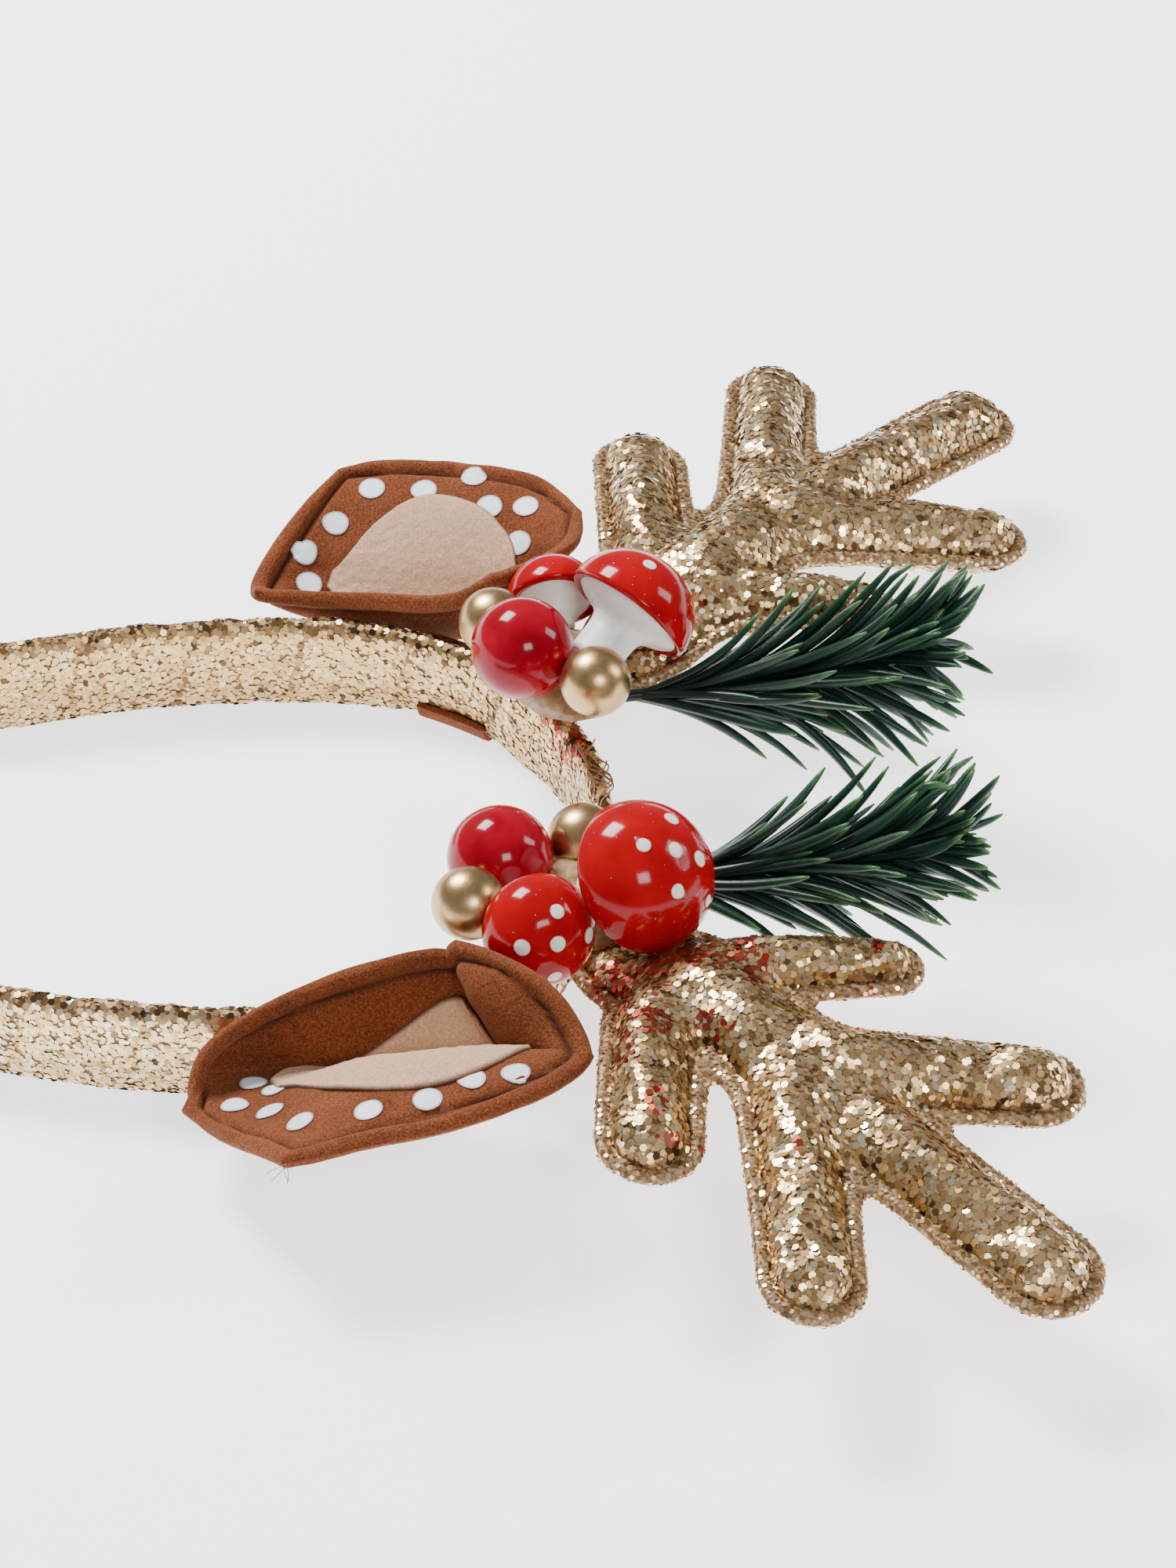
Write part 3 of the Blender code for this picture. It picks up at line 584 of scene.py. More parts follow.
def make_band():
    """The hoop wound with glitter ribbon."""
    bm = bmesh.new()
    tube(bm, band_place, 300, 40)
    band = add_piece("band_ribbon", bm, BACKING, "band_glitter", "band")

    def tone_of(spot, normal, rng):
        towards = np.stack([HOOP_X - spot[:, 0], -spot[:, 1], 0.0 * spot[:, 2]], axis=1)
        towards /= np.linalg.norm(towards, axis=1)[:, None]
        inward = (normal * towards).sum(1)
        inner = inward > 0.4
        edge = np.abs(normal[:, 2]) > 0.55
        tone = np.clip(rng.normal(0.64, 0.13, len(spot)), 0.0, 1.0)
        tone = np.where(inner, np.clip(rng.normal(0.49, 0.07, len(spot)), 0.0, 1.0), tone)
        tone = retoned(tone, rng, np.where(edge, 0.60, 0.03), 0.0, 0.25)
        angle = np.degrees(np.arctan2(spot[:, 1] / HALF_SPAN, (spot[:, 0] - HOOP_X) / CROWN_RISE))
        run = LEG_RUN + ARC_RUN * (angle + 90.0) / 180.0
        leg = (HOOP_X - spot[:, 0]) / LEG_LENGTH
        leg_run = np.where(spot[:, 1] < 0.0, LEG_RUN * (1.0 - leg), LEG_RUN * (1.0 + leg) + ARC_RUN)
        run = np.where(leg > 0.0, leg_run, run)
        upward = np.clip((spot[:, 2] - 0.5 * BAND_WIDTH) / (0.5 * BAND_WIDTH), -1.0, 1.0)
        turn = np.arcsin(np.sign(upward) * np.abs(upward) ** 1.5)
        turn = np.where(inward > 0.0, math.pi - turn, turn)
        phase = (run / WRAP_PITCH - turn / (2.0 * math.pi)) % 1.0
        tone = np.where((phase > 0.975) | (phase < 0.010), tone - 0.20, tone).clip(0.0, 1.0)
        bead = np.array((PHOTO_X - 0.001, 0.026, 0.021))
        red = np.linalg.norm(spot - bead, axis=1) < 0.010
        return tone, np.where(red & (rng.random(len(spot)) < 0.35), 0.9, 0.0), np.ones(len(spot))

    scatter("band_glitter_flakes", band, 0.00076, 11, tone_of, 4.5)


make_band()


# Antlers

# Shares of reach and spread from the root, half-widths as shares of TINE_HALF_WIDTH
TINES = [
    # name, x0, y0, x1, y1, w0, w1
    ("root", 0.060, 0.030, 0.205, 0.165, 0.82, 1.12),
    ("trunk", 0.205, 0.165, 0.425, 0.395, 1.20, 1.15),
    ("inner", 0.203, 0.330, 0.192, 0.625, 0.95, 0.97),
    ("tall", 0.455, 0.470, 0.483, 0.905, 1.00, 0.96),
    ("slant", 0.600, 0.570, 0.905, 0.850, 1.00, 1.07),
    ("outer", 0.500, 0.440, 0.915, 0.450, 1.05, 0.94),
    ("low", 0.300, 0.215, 0.655, 0.195, 0.95, 0.66),
]
# Rings cut into the cloth at these depths inside the outline: rounded edge, welt, stitched groove, swell
EDGE_RINGS = (0.0004, 0.0010, 0.0019, 0.0025, 0.0029, 0.0034, 0.0042, 0.0056)
FLANGE = 0.0028
SEAM_DEPTH = 0.0029
SWELL_RUN = 0.0070
SWELL_HEIGHT = 0.00515
# Width over which neighbouring tines flow together, and spacing of the cloth's grid
CROTCH_ROUND = 0.0022
CLOTH_GRID = 0.0019
# The stuffing is simulated ten times as large, and moves no point further than the cap
STUFF_SCALE = 10.0
STUFF_CAP = 0.0024
STUFF_FRAMES = 20


def antler_root(side):
    """Where the antler's base lies on the band's front edge."""
    point, _ = arc_point(ROOT_ANGLE)
    return Vector((point.x, side * abs(point.y), BAND_WIDTH + GAP))


def antler_depth(places):
    """Depth inside the antler's outline, positive inside, at an array of places from its root."""
    nearest = []
    for _, x0, y0, x1, y1, w0, w1 in TINES:
        start = np.array((x0 * REACH, y0 * SPREAD))
        run = np.array((x1 * REACH, y1 * SPREAD)) - start
        offset = places - start
        share = np.clip(offset @ run / (run @ run), 0.0, 1.0)
        width = TINE_HALF_WIDTH * (w0 + (w1 - w0) * share)
        nearest.append(np.linalg.norm(offset - share[:, None] * run, axis=1) - width)
    nearest = np.array(nearest)
    low = nearest.min(0)
    return CROTCH_ROUND * np.log(np.exp(-(nearest - low) / CROTCH_ROUND).sum(0)) - low


def antler_shape(places, depth):
    """Height of the antler's middle above its root, and half its thickness, for arrays."""
    from_root = np.linalg.norm(places, axis=1)
    stuffed = smooth_step((from_root - 0.016) / 0.030)
    climbed = smooth_step((from_root - 0.016) / 0.040)
    welt = 0.0011 * rounded(depth, 0.0010) - 0.00070 * line(depth, SEAM_DEPTH, 0.00042)
    share = np.clip((depth - FLANGE) / SWELL_RUN, 0.0, 1.0)
    swell = SWELL_HEIGHT * rounded(depth - FLANGE, SWELL_RUN)
    swell += 0.14 * np.clip(depth - FLANGE - SWELL_RUN, 0.0, None)
    flat = 0.0007 * np.clip(share * 2.0, 0.0, 1.0)
    half = np.maximum(welt, 0.00004) + flat + (swell - flat) * stuffed
    free_middle = MID_HEIGHT - BAND_WIDTH - GAP - 0.085 * places[:, 0] - 0.065 * places[:, 1]
    root_middle = np.minimum(half, 0.5 * ROOT_THICKNESS)
    return root_middle + (free_middle - root_middle) * climbed, half


def stuff(pad, pinned):
    """Fill a sewn pad: cloth under pressure, held at its seam."""
    rest = stored(pad.data.vertices, "co")
    pad.data.transform(Matrix.Scale(STUFF_SCALE, 4))
    group = pad.vertex_groups.new(name="seam")
    group.add(pinned, 1.0, "REPLACE")
    cloth = pad.modifiers.new("Stuffing", "CLOTH")
    settings = cloth.settings
    settings.vertex_group_mass = "seam"
    settings.quality = 4
    settings.mass = 0.15
    settings.tension_stiffness = settings.compression_stiffness = 22.0
    settings.shear_stiffness = 6.0
    settings.bending_stiffness = 0.6
    settings.shrink_min = -0.035
    settings.use_pressure = True
    settings.uniform_pressure_force = 4.0
    settings.effector_weights.gravity = 0.0
    cloth.collision_settings.use_collision = False
    cloth.point_cache.frame_start = 1
    cloth.point_cache.frame_end = STUFF_FRAMES
    scene = bpy.context.scene
    for step in range(1, STUFF_FRAMES + 1):
        scene.frame_set(step)
    shown = pad.evaluated_get(bpy.context.evaluated_depsgraph_get())
    moved = stored(shown.data.vertices, "co") / STUFF_SCALE - rest
    pad.modifiers.clear()
    pad.vertex_groups.clear()
    scene.frame_set(1)
    far = np.linalg.norm(moved, axis=1)
    moved *= np.minimum(1.0, STUFF_CAP / np.maximum(far, 1e-9))[:, None]
    pad.data.vertices.foreach_set("co", (rest + moved).ravel())
    pad.data.update()


def make_antler(side_name):
    """Two glitter faces sewn round the edge, stuffed, with a welt outside the stitched groove."""
    side = SIDES[side_name]
    low = np.array((-0.25 * REACH, -0.25 * SPREAD))
    high = np.array((1.10 * REACH, 1.15 * SPREAD))
    steps = [int(length / CLOTH_GRID) for length in high - low]
    bm = bmesh.new()
    bmesh.ops.create_grid(bm, x_segments=steps[0], y_segments=steps[1], size=1.0)
    places = np.array([vert.co[:2] for vert in bm.verts])
    places = low + (high - low) * (places + 1.0) / 2.0
    for vert, place, depth in zip(bm.verts, places, antler_depth(places)):
        vert.co = (place[0], place[1], -depth)
    bmesh.ops.triangulate(bm, faces=bm.faces[:])
    for ring in (0.0, *EDGE_RINGS):
        bmesh.ops.bisect_plane(
            bm, geom=bm.verts[:] + bm.edges[:] + bm.faces[:], dist=1e-7,
            plane_co=(0, 0, -ring), plane_no=(0, 0, 1), clear_outer=ring == 0.0,
        )
    bmesh.ops.remove_doubles(bm, verts=bm.verts[:], dist=0.00012)
    made = bmesh.ops.extrude_face_region(bm, geom=bm.faces[:])["geom"]
    bm.verts.index_update()
    upper = {item.index for item in made if isinstance(item, bmesh.types.BMVert)}
    places = np.array([vert.co[:2] for vert in bm.verts])
    depth = np.array([-vert.co.z for vert in bm.verts])
    middle, half = antler_shape(places, depth)
    base = antler_root(side)
    for vert in bm.verts:
        x, y = places[vert.index]
        level = half[vert.index] if vert.index in upper else -half[vert.index]
        inside = min(max((depth[vert.index] - 0.003) / 0.003, 0.0), 1.0)
        lump = 0.0007 * noise.noise(Vector((70.0 * x, 70.0 * side * y, 9.0 * side))) * inside
        vert.co = (base.x + x, base.y + side * y, base.z + middle[vert.index] + level + lump)
    bmesh.ops.recalc_face_normals(bm, faces=bm.faces[:])
    antler = add_piece(
        f"antler_{side_name}_pad", bm, BACKING, "antler_glitter", f"antler_{side_name}", smooth=180.0
    )
    still = (depth < 0.0031) | (np.linalg.norm(places, axis=1) < 0.020)
    stuff(antler, np.flatnonzero(still).tolist())
    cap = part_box(f"toadstool_cap_small_{side_name}")
    middle = 0.5 * (cap[0] + cap[1])
    stain = np.array((middle.x + 0.013, middle.y + side * 0.004, 0.024))

    def tone_of(spot, normal, rng):
        tone = np.clip(rng.normal(0.56, 0.13, len(spot)), 0.0, 1.0)
        tone = retoned(tone, rng, 0.09, 0.05, 0.35)
        tone = retoned(tone, rng, 0.07, 0.9, 1.0)
        flat = np.stack([spot[:, 0] - base.x, side * (spot[:, 1] - base.y)], axis=1)
        seam = antler_depth(flat)
        # Flakes along the stitched groove are darkened: painted shade in the groove
        tone -= 0.30 * line(seam, SEAM_DEPTH, 0.0005)
        welt = seam < 0.0025
        tone = np.where(welt, rng.uniform(0.15, 0.95, len(spot)), tone)
        tone = np.clip(tone, 0.0, 1.0)
        grow = np.where(welt, 0.62, 1.0)
        if side > 0.0:
            return tone, np.where(welt, 0.05, 0.0), grow
        near = np.linalg.norm((spot - stain) * (1.0, 0.75, 0.6), axis=1)
        smear = np.array([noise.noise(Vector(place) * 130.0) for place in spot])
        chance = np.clip(0.75 - near / 0.017, 0.0, 1.0) + np.where((smear > 0.38) & (near < 0.05), 0.6, 0.0)
        return tone, np.where(rng.random(len(spot)) < chance, 0.85, 0.05 * welt), grow

    scatter(f"antler_{side_name}_flakes", antler, 0.00080, 21 + int(side), tone_of, 6.5)


for side_name in SIDES:
    make_antler(side_name)


# Ears

# Seven points across each station, from the band-side rim over the fold to the outer edge, in millimetres:
# x from the photograph's zero, distance from the middle line, height above the table
EAR_STATIONS = {
    "left": [
        [(-73.6, 77.0, 12.5), (-71.4, 80.0, 13.3), (-68.8, 84.0, 14.8), (-65.8, 88.5, 17.0),
         (-62.2, 93.0, 19.6), (-58.0, 98.5, 22.8), (-53.8, 104.0, 26.0)],
        [(-68.6, 68.3, 20.8), (-69.6, 66.6, 14.6), (-66.6, 67.6, 11.2), (-61.8, 74.0, 12.8),
         (-57.2, 82.0, 16.6), (-52.0, 92.5, 22.0), (-46.8, 103.0, 26.8)],
        [(-58.4, 60.8, 24.6), (-59.0, 62.3, 16.0), (-57.6, 63.6, 10.6), (-54.4, 69.6, 12.2),
         (-50.8, 77.2, 18.2), (-45.0, 88.5, 24.2), (-38.6, 100.6, 27.0)],
        [(-46.5, 56.6, 28.4), (-46.0, 61.2, 18.0), (-44.8, 64.8, 11.0), (-43.2, 71.0, 15.0),
         (-41.4, 77.0, 23.2), (-35.5, 87.5, 26.9), (-27.5, 98.0, 27.4)],
        [(-36.5, 55.6, 31.4), (-35.8, 58.6, 19.5), (-34.2, 64.8, 10.4), (-32.4, 71.2, 15.4),
         (-30.5, 77.8, 26.0), (-26.0, 86.0, 28.2), (-18.0, 94.8, 28.0)],
        [(-29.0, 54.8, 32.8), (-27.6, 58.2, 21.5), (-25.0, 64.0, 11.4), (-22.0, 70.0, 16.0),
         (-19.4, 75.4, 25.2), (-15.0, 82.0, 28.0), (-8.4, 89.8, 28.4)],
        [(-25.6, 54.4, 32.4), (-21.4, 57.8, 23.0), (-15.0, 63.8, 13.8), (-11.6, 69.4, 16.8),
         (-9.8, 73.6, 23.6), (-6.6, 78.4, 27.8), (-2.4, 84.8, 28.5)],
        [(-25.0, 54.2, 33.4), (-22.6, 59.4, 32.0), (-19.8, 64.8, 30.4), (-14.6, 69.8, 29.0),
         (-8.6, 74.0, 28.2), (-3.6, 77.8, 28.5), (0.2, 81.4, 28.6)],
        [(-23.6, 54.4, 34.2), (-18.4, 58.0, 35.8), (-10.2, 64.4, 36.3), (-5.0, 68.6, 34.4),
         (-2.0, 72.0, 32.0), (0.1, 76.0, 30.0), (1.0, 79.6, 28.6)],
    ],
    "right": [
        [(-67.3, 65.5, 21.5), (-68.4, 69.0, 19.8), (-67.8, 73.0, 20.0), (-65.6, 78.0, 21.6),
         (-62.2, 83.5, 24.0), (-57.5, 91.0, 25.8), (-51.6, 98.9, 27.0)],
        [(-60.0, 63.6, 23.0), (-60.6, 66.0, 17.5), (-59.8, 70.5, 15.8), (-57.6, 76.0, 17.4),
         (-54.8, 82.0, 20.8), (-50.5, 91.0, 25.0), (-46.0, 100.8, 27.6)],
        [(-53.0, 61.9, 24.0), (-53.2, 64.0, 16.5), (-52.0, 68.5, 13.2), (-50.2, 74.0, 15.2),
         (-47.6, 80.0, 19.8), (-43.8, 90.0, 25.0), (-39.5, 101.3, 28.0)],
        [(-45.0, 60.4, 25.0), (-44.8, 62.2, 15.5), (-43.6, 66.5, 11.4), (-41.8, 72.2, 14.0),
         (-39.2, 79.0, 20.0), (-36.0, 89.5, 26.0), (-32.0, 100.6, 28.2)],
        [(-38.5, 58.6, 26.0), (-37.6, 60.9, 15.0), (-36.0, 65.5, 10.6), (-34.0, 71.5, 13.5),
         (-31.0, 78.5, 20.5), (-28.5, 88.0, 26.5), (-25.0, 99.6, 28.3)],
        [(-32.0, 56.6, 27.0), (-30.6, 59.4, 16.0), (-27.5, 65.0, 11.2), (-25.0, 71.0, 14.5),
         (-22.5, 77.5, 21.0), (-20.0, 86.0, 26.8), (-17.0, 97.6, 28.3)],
        [(-26.5, 55.2, 29.0), (-23.5, 58.4, 19.5), (-19.0, 64.4, 14.5), (-16.5, 70.0, 17.5),
         (-14.5, 75.5, 22.5), (-12.5, 83.0, 27.0), (-9.5, 94.2, 28.4)],
        [(-22.5, 54.6, 31.5), (-17.5, 58.4, 26.0), (-11.5, 64.0, 21.5), (-9.2, 69.0, 22.5),
         (-7.8, 73.5, 25.2), (-6.2, 79.5, 28.0), (-4.2, 87.5, 28.8)],
        [(-19.0, 54.4, 33.5), (-13.6, 57.2, 34.2), (-8.0, 60.5, 34.4), (-4.4, 64.5, 33.6),
         (-2.2, 69.0, 32.2), (-1.0, 74.5, 30.8), (-1.2, 80.5, 29.5)],
    ],
}
EAR_FACE_STEPS = (112, 84)
EAR_HALF = 0.0011
EAR_SEAM = 0.0042
PATCH_SPAN = (0.20, 0.80)
PATCH_FACE_STEPS = (72, 60)


def ear_point(along, across, side_name):
    """Point of the ear's middle surface."""
    rows = [spline([station[k] for station in EAR_STATIONS[side_name]], along) for k in range(7)]
    x, y, z = spline(rows, across)
    return Vector((PHOTO_X + MM * x, SIDES[side_name] * MM * y, MM * z))


def ear_grid(side_name, along_span, across_of, steps):
    """Grid of points and normals of the ear's surface, as arrays indexed along, across."""
    shape = (steps[0] + 1, steps[1] + 1, 3)
    places = np.empty(shape)
    low, high = along_span
    for i in range(shape[0]):
        share = i / steps[0]
        along = low + (high - low) * share
        near, far = across_of(share)
        for j in range(shape[1]):
            places[i, j] = ear_point(along, near + (far - near) * j / steps[1], side_name)
    run = np.gradient(places, axis=0)
    width = np.gradient(places, axis=1)
    normals = np.cross(run, width) * SIDES[side_name]
    normals /= np.maximum(np.linalg.norm(normals, axis=2), 1e-12)[:, :, None]
    return places, normals


def edge_distance(places):
    """Distance of every grid point from the grid's own edge, along the surface."""
    along = np.linalg.norm(np.diff(places, axis=0), axis=2)
    across = np.linalg.norm(np.diff(places, axis=1), axis=2)
    left = np.vstack([np.zeros((1, places.shape[1])), np.cumsum(along, axis=0)])
    down = np.hstack([np.zeros((places.shape[0], 1)), np.cumsum(across, axis=1)])
    return np.minimum.reduce([left, left[-1:] - left, down, down[:, -1:] - down])


def grid_noise(places, scale):
    """Smooth noise at every grid point, scale in waves per metre."""
    return np.array([[noise.noise(Vector(place) * scale) for place in row] for row in places])


def layered(name, places, normals, upper, lower, marks, material, slot, *nodes):
    """A closed cloth between two heights over a grid, with marks that its material reads."""
    bm = bmesh.new()
    marked = []
    steps = (places.shape[0] - 1, places.shape[1] - 1)
    for heights in (upper, lower):
        verts = bmesh.ops.create_grid(bm, x_segments=steps[0], y_segments=steps[1], size=1.0)["verts"]
        for vert in verts:
            i = round(0.5 * (vert.co.x + 1.0) * steps[0])
            j = round(0.5 * (vert.co.y + 1.0) * steps[1])
            vert.co = places[i, j] + normals[i, j] * heights[i, j]
            marked.append(marks[i, j])
    edges = [edge for edge in bm.edges if edge.is_boundary]
    bmesh.ops.bridge_loops(bm, edges=edges)
    bmesh.ops.recalc_face_normals(bm, faces=bm.faces[:])
    piece = add_piece(name, bm, material, slot, *nodes, smooth=65.0)
    carry(piece, "mark", marked)
    return piece


EARS = {}


def make_ear(side_name):
    """Two layers of suede sewn round the edge, topstitched and folded lengthways."""
    places, normals = ear_grid(side_name, (0.0, 1.0), lambda share: (0.0, 1.0), EAR_FACE_STEPS)
    depth = edge_distance(places)
    edge = rounded(depth, 0.0012)
    groove = line(depth, EAR_SEAM, 0.0007)
    welt = line(depth, 0.0022, 0.0013)
    lumps = grid_noise(places, 110.0) + 0.5 * grid_noise(places, 300.0)
    upper = EAR_HALF * edge + 0.00055 * welt - 0.0010 * groove + 0.00040 * lumps * edge
    lower = -EAR_HALF * edge - 0.00035 * welt + 0.0005 * groove + 0.00035 * lumps * edge
    # The mark darkens the suede along the stitched groove: painted shade in the groove
    seam = line(depth, EAR_SEAM, 0.0005)
    ear = layered(
        f"ear_{side_name}_suede", places, normals, upper, lower, seam, SUEDE, "ear_suede", f"ear_{side_name}"
    )
    EARS[side_name] = ear


def patch_span(share):
    """How far the beige patch reaches across the ear at a share of its own length."""
    wall_side = (0.48, 0.38, 0.31, 0.26, 0.22, 0.19, 0.16, 0.14, 0.15, 0.24)
    flap_side = (0.58, 0.74, 0.81, 0.845, 0.855, 0.85, 0.83, 0.79, 0.72, 0.55)
    return float(spline(wall_side, share)), float(spline(flap_side, share))


def make_patch(side_name):
    """Beige fleece sewn into the fold, darker along its edge."""
    places, normals = ear_grid(side_name, PATCH_SPAN, patch_span, PATCH_FACE_STEPS)
    depth = edge_distance(places)
    edge = np.clip(depth / 0.0006, 0.0, 1.0) ** 0.5
    rough = grid_noise(places, 700.0)
    base = EAR_HALF + 0.00025
    upper = base + (0.0007 + 0.00018 * rough) * edge
    lower = np.full_like(upper, base - 0.0001)
    # Darker along the patch's edge
    darkened = line(depth, 0.0, 0.0004)
    patch = layered(
        f"ear_patch_{side_name}_fleece", places, normals, upper, lower, darkened, FLEECE, "ear_fleece",
        f"ear_patch_{side_name}",
    )


# Printed dots as shares along and across the ear's surface
EAR_DOTS = {
    "left": [
        (0.155, 0.822), (0.304, 0.883), (0.433, 0.889), (0.548, 0.856), (0.628, 0.883),
        (0.165, 0.455), (0.195, 0.565), (0.085, 0.480), (0.128, 0.672),
    ],
    "right": [
        (0.217, 0.878), (0.404, 0.867), (0.545, 0.925), (0.625, 0.835), (0.742, 0.861),
        (0.754, 0.722), (0.146, 0.75), (0.096, 0.6), (0.146, 0.456),
    ],
}
DOT_RADIUS = 0.0027
DOT_RINGS = (0.08, 0.14, 0.20, 0.20, 0.20)


def make_dots(side_name):
    """Pale dots printed on the suede round the patch."""
    surface = BVHTree.FromObject(EARS[side_name], bpy.context.evaluated_depsgraph_get())
    bm = bmesh.new()
    rim = {}
    for along, across in EAR_DOTS[side_name]:
        before = set(bm.verts)
        bmesh.ops.create_circle(bm, segments=32, radius=1.0, cap_ends=True)
        face = next(face for face in bm.faces if face.verts[0] not in before)
        for ring in DOT_RINGS:
            bmesh.ops.inset_region(bm, faces=[face], thickness=ring)
        bmesh.ops.poke(bm, faces=[face])
        run, width = (
            (ear_point(along + i, across + j, side_name) - ear_point(along - i, across - j, side_name)) / 0.02
            for i, j in ((0.01, 0.0), (0.0, 0.01))
        )
        upward = run.cross(width).normalized() * SIDES[side_name]
        ahead = run.normalized()
        aside = upward.cross(ahead)
        lean = width.dot(ahead) / width.dot(aside)
        for vert in set(bm.verts) - before:
            share = vert.co.length
            step_across = DOT_RADIUS * vert.co.y / width.dot(aside)
            step_along = DOT_RADIUS * (vert.co.x - lean * vert.co.y) / run.length
            spot = ear_point(along + step_along, across + step_across, side_name) + upward * 1.2 * EAR_HALF
            spot, normal, _, _ = surface.find_nearest(spot)
            vert.co = spot + normal * (0.00036 - 0.00016 * share**6)
            rim[vert] = share
    bmesh.ops.recalc_face_normals(bm, faces=bm.faces[:])
    values = [rim[vert] for vert in bm.verts]
    dots = add_piece(f"ear_{side_name}_dots", bm, DOT_PRINT, "ear_fleece", smooth=180.0)
    carry(dots, "rim", values)


def make_tab(side_name):
    """Suede strip round the band's lower edge, which the ear is glued to."""
    side = SIDES[side_name]
    lift = TAB_THICKNESS + 2.0 * GAP
    half = 0.5 * (BAND_WIDTH - lift)

    def place(share, turn):
        """Round a flat ribbon section: across its width and back on its other face."""
        width = 0.5 * (1.0 - math.cos(turn))
        face = math.copysign(abs(math.sin(turn)) ** 0.25, math.sin(turn))
        angle = side * (TAB_ANGLES[0] + (TAB_ANGLES[1] - TAB_ANGLES[0]) * width)
        point, outward = arc_point(angle)
        wrap = math.radians(48.0 - 198.0 * share)
        grow = GAP + 0.5 * TAB_THICKNESS * (1.0 + face)
        across, upward = boxy(wrap, 0.72)
        return point + outward * across * (0.5 * BAND_THICKNESS + grow) + Vector((
            0.0, 0.0, lift + half + upward * (half + grow),
        ))

    bm = bmesh.new()
    tube(bm, place, 60, 40)
    add_piece(f"ear_tab_{side_name}_suede", bm, SUEDE, "tab_suede", f"ear_tab_{side_name}")


for side_name in SIDES:
    make_ear(side_name)
    make_patch(side_name)
    make_dots(side_name)
    make_tab(side_name)


# Ornaments

# Cap places from the antler's root, axes and sizes, as in the solids
TOADSTOOLS = {
    ("left", "small"): ((-0.0014, 0.0182, 0.0133), (0.25, 0.86, 0.46), 0.0206 * 1.03),
    ("left", "big"): ((0.0172, 0.0091, 0.0182), (0.62, 0.43, 0.65), 0.0275 * 1.045),
    ("right", "small"): ((0.0009, 0.0199, 0.0098), (-0.10, 0.94, 0.32), 0.0206 * 0.92),
    ("right", "big"): ((0.0158, 0.0061, 0.0173), (0.59, 0.66, 0.45), 0.0275 * 0.965),
}
STEM_DIAMETERS = {"small": 0.0072, "big": 0.0102}
CAP_LIP = 0.0011
SPOT_RADIUS = 0.0015
# Spots whose paint has run into a tear
TEARS = (("left", "big", 0), ("left", "big", 4))
# Spots as directions from the middle of each cap's rim
CAP_SPOTS = {
    ("left", "small"): [
        (0.35, 0.43, 0.83), (0.38, 0.84, 0.39), (-0.29, 0.89, 0.36), (0.91, 0.37, 0.20), (0.30, 0.90, -0.31),
    ],
    ("left", "big"): [
        (0.04, 0.40, 0.92), (0.42, -0.17, 0.89), (0.49, 0.34, 0.80), (0.83, 0.21, 0.52), (0.51, 0.76, 0.40),
        (0.95, -0.30, -0.10), (0.90, 0.42, -0.05),
    ],
    ("right", "small"): [(0.0, 0.95, 0.30), (0.55, 0.80, 0.20), (-0.60, 0.75, 0.25), (-0.10, 0.75, 0.65)],
    ("right", "big"): [
        (0.30, -0.06, 0.95), (0.91, 0.09, 0.40), (0.60, 0.62, 0.50), (0.20, 0.85, 0.45), (0.82, 0.55, 0.10),
    ],
}


def turned(profile, place, axis):
    """Half section of radius and height pairs spun round an axis."""
    bm = bmesh.new()
    verts = [bm.verts.new((radius, 0.0, height)) for radius, height in profile]
    edges = [bm.edges.new(pair) for pair in zip(verts, verts[1:])]
    bmesh.ops.spin(
        bm, geom=verts + edges, cent=(0, 0, 0), axis=(0, 0, 1), angle=2.0 * math.pi, steps=56,
        use_merge=True, use_duplicate=False,
    )
    bmesh.ops.remove_doubles(bm, verts=bm.verts[:], dist=1e-6)
    turn = Vector((0, 0, 1)).rotation_difference(Vector(axis)).to_matrix().to_4x4()
    bmesh.ops.transform(bm, matrix=Matrix.Translation(place) @ turn, verts=bm.verts[:])
    bmesh.ops.recalc_face_normals(bm, faces=bm.faces[:])
    return bm


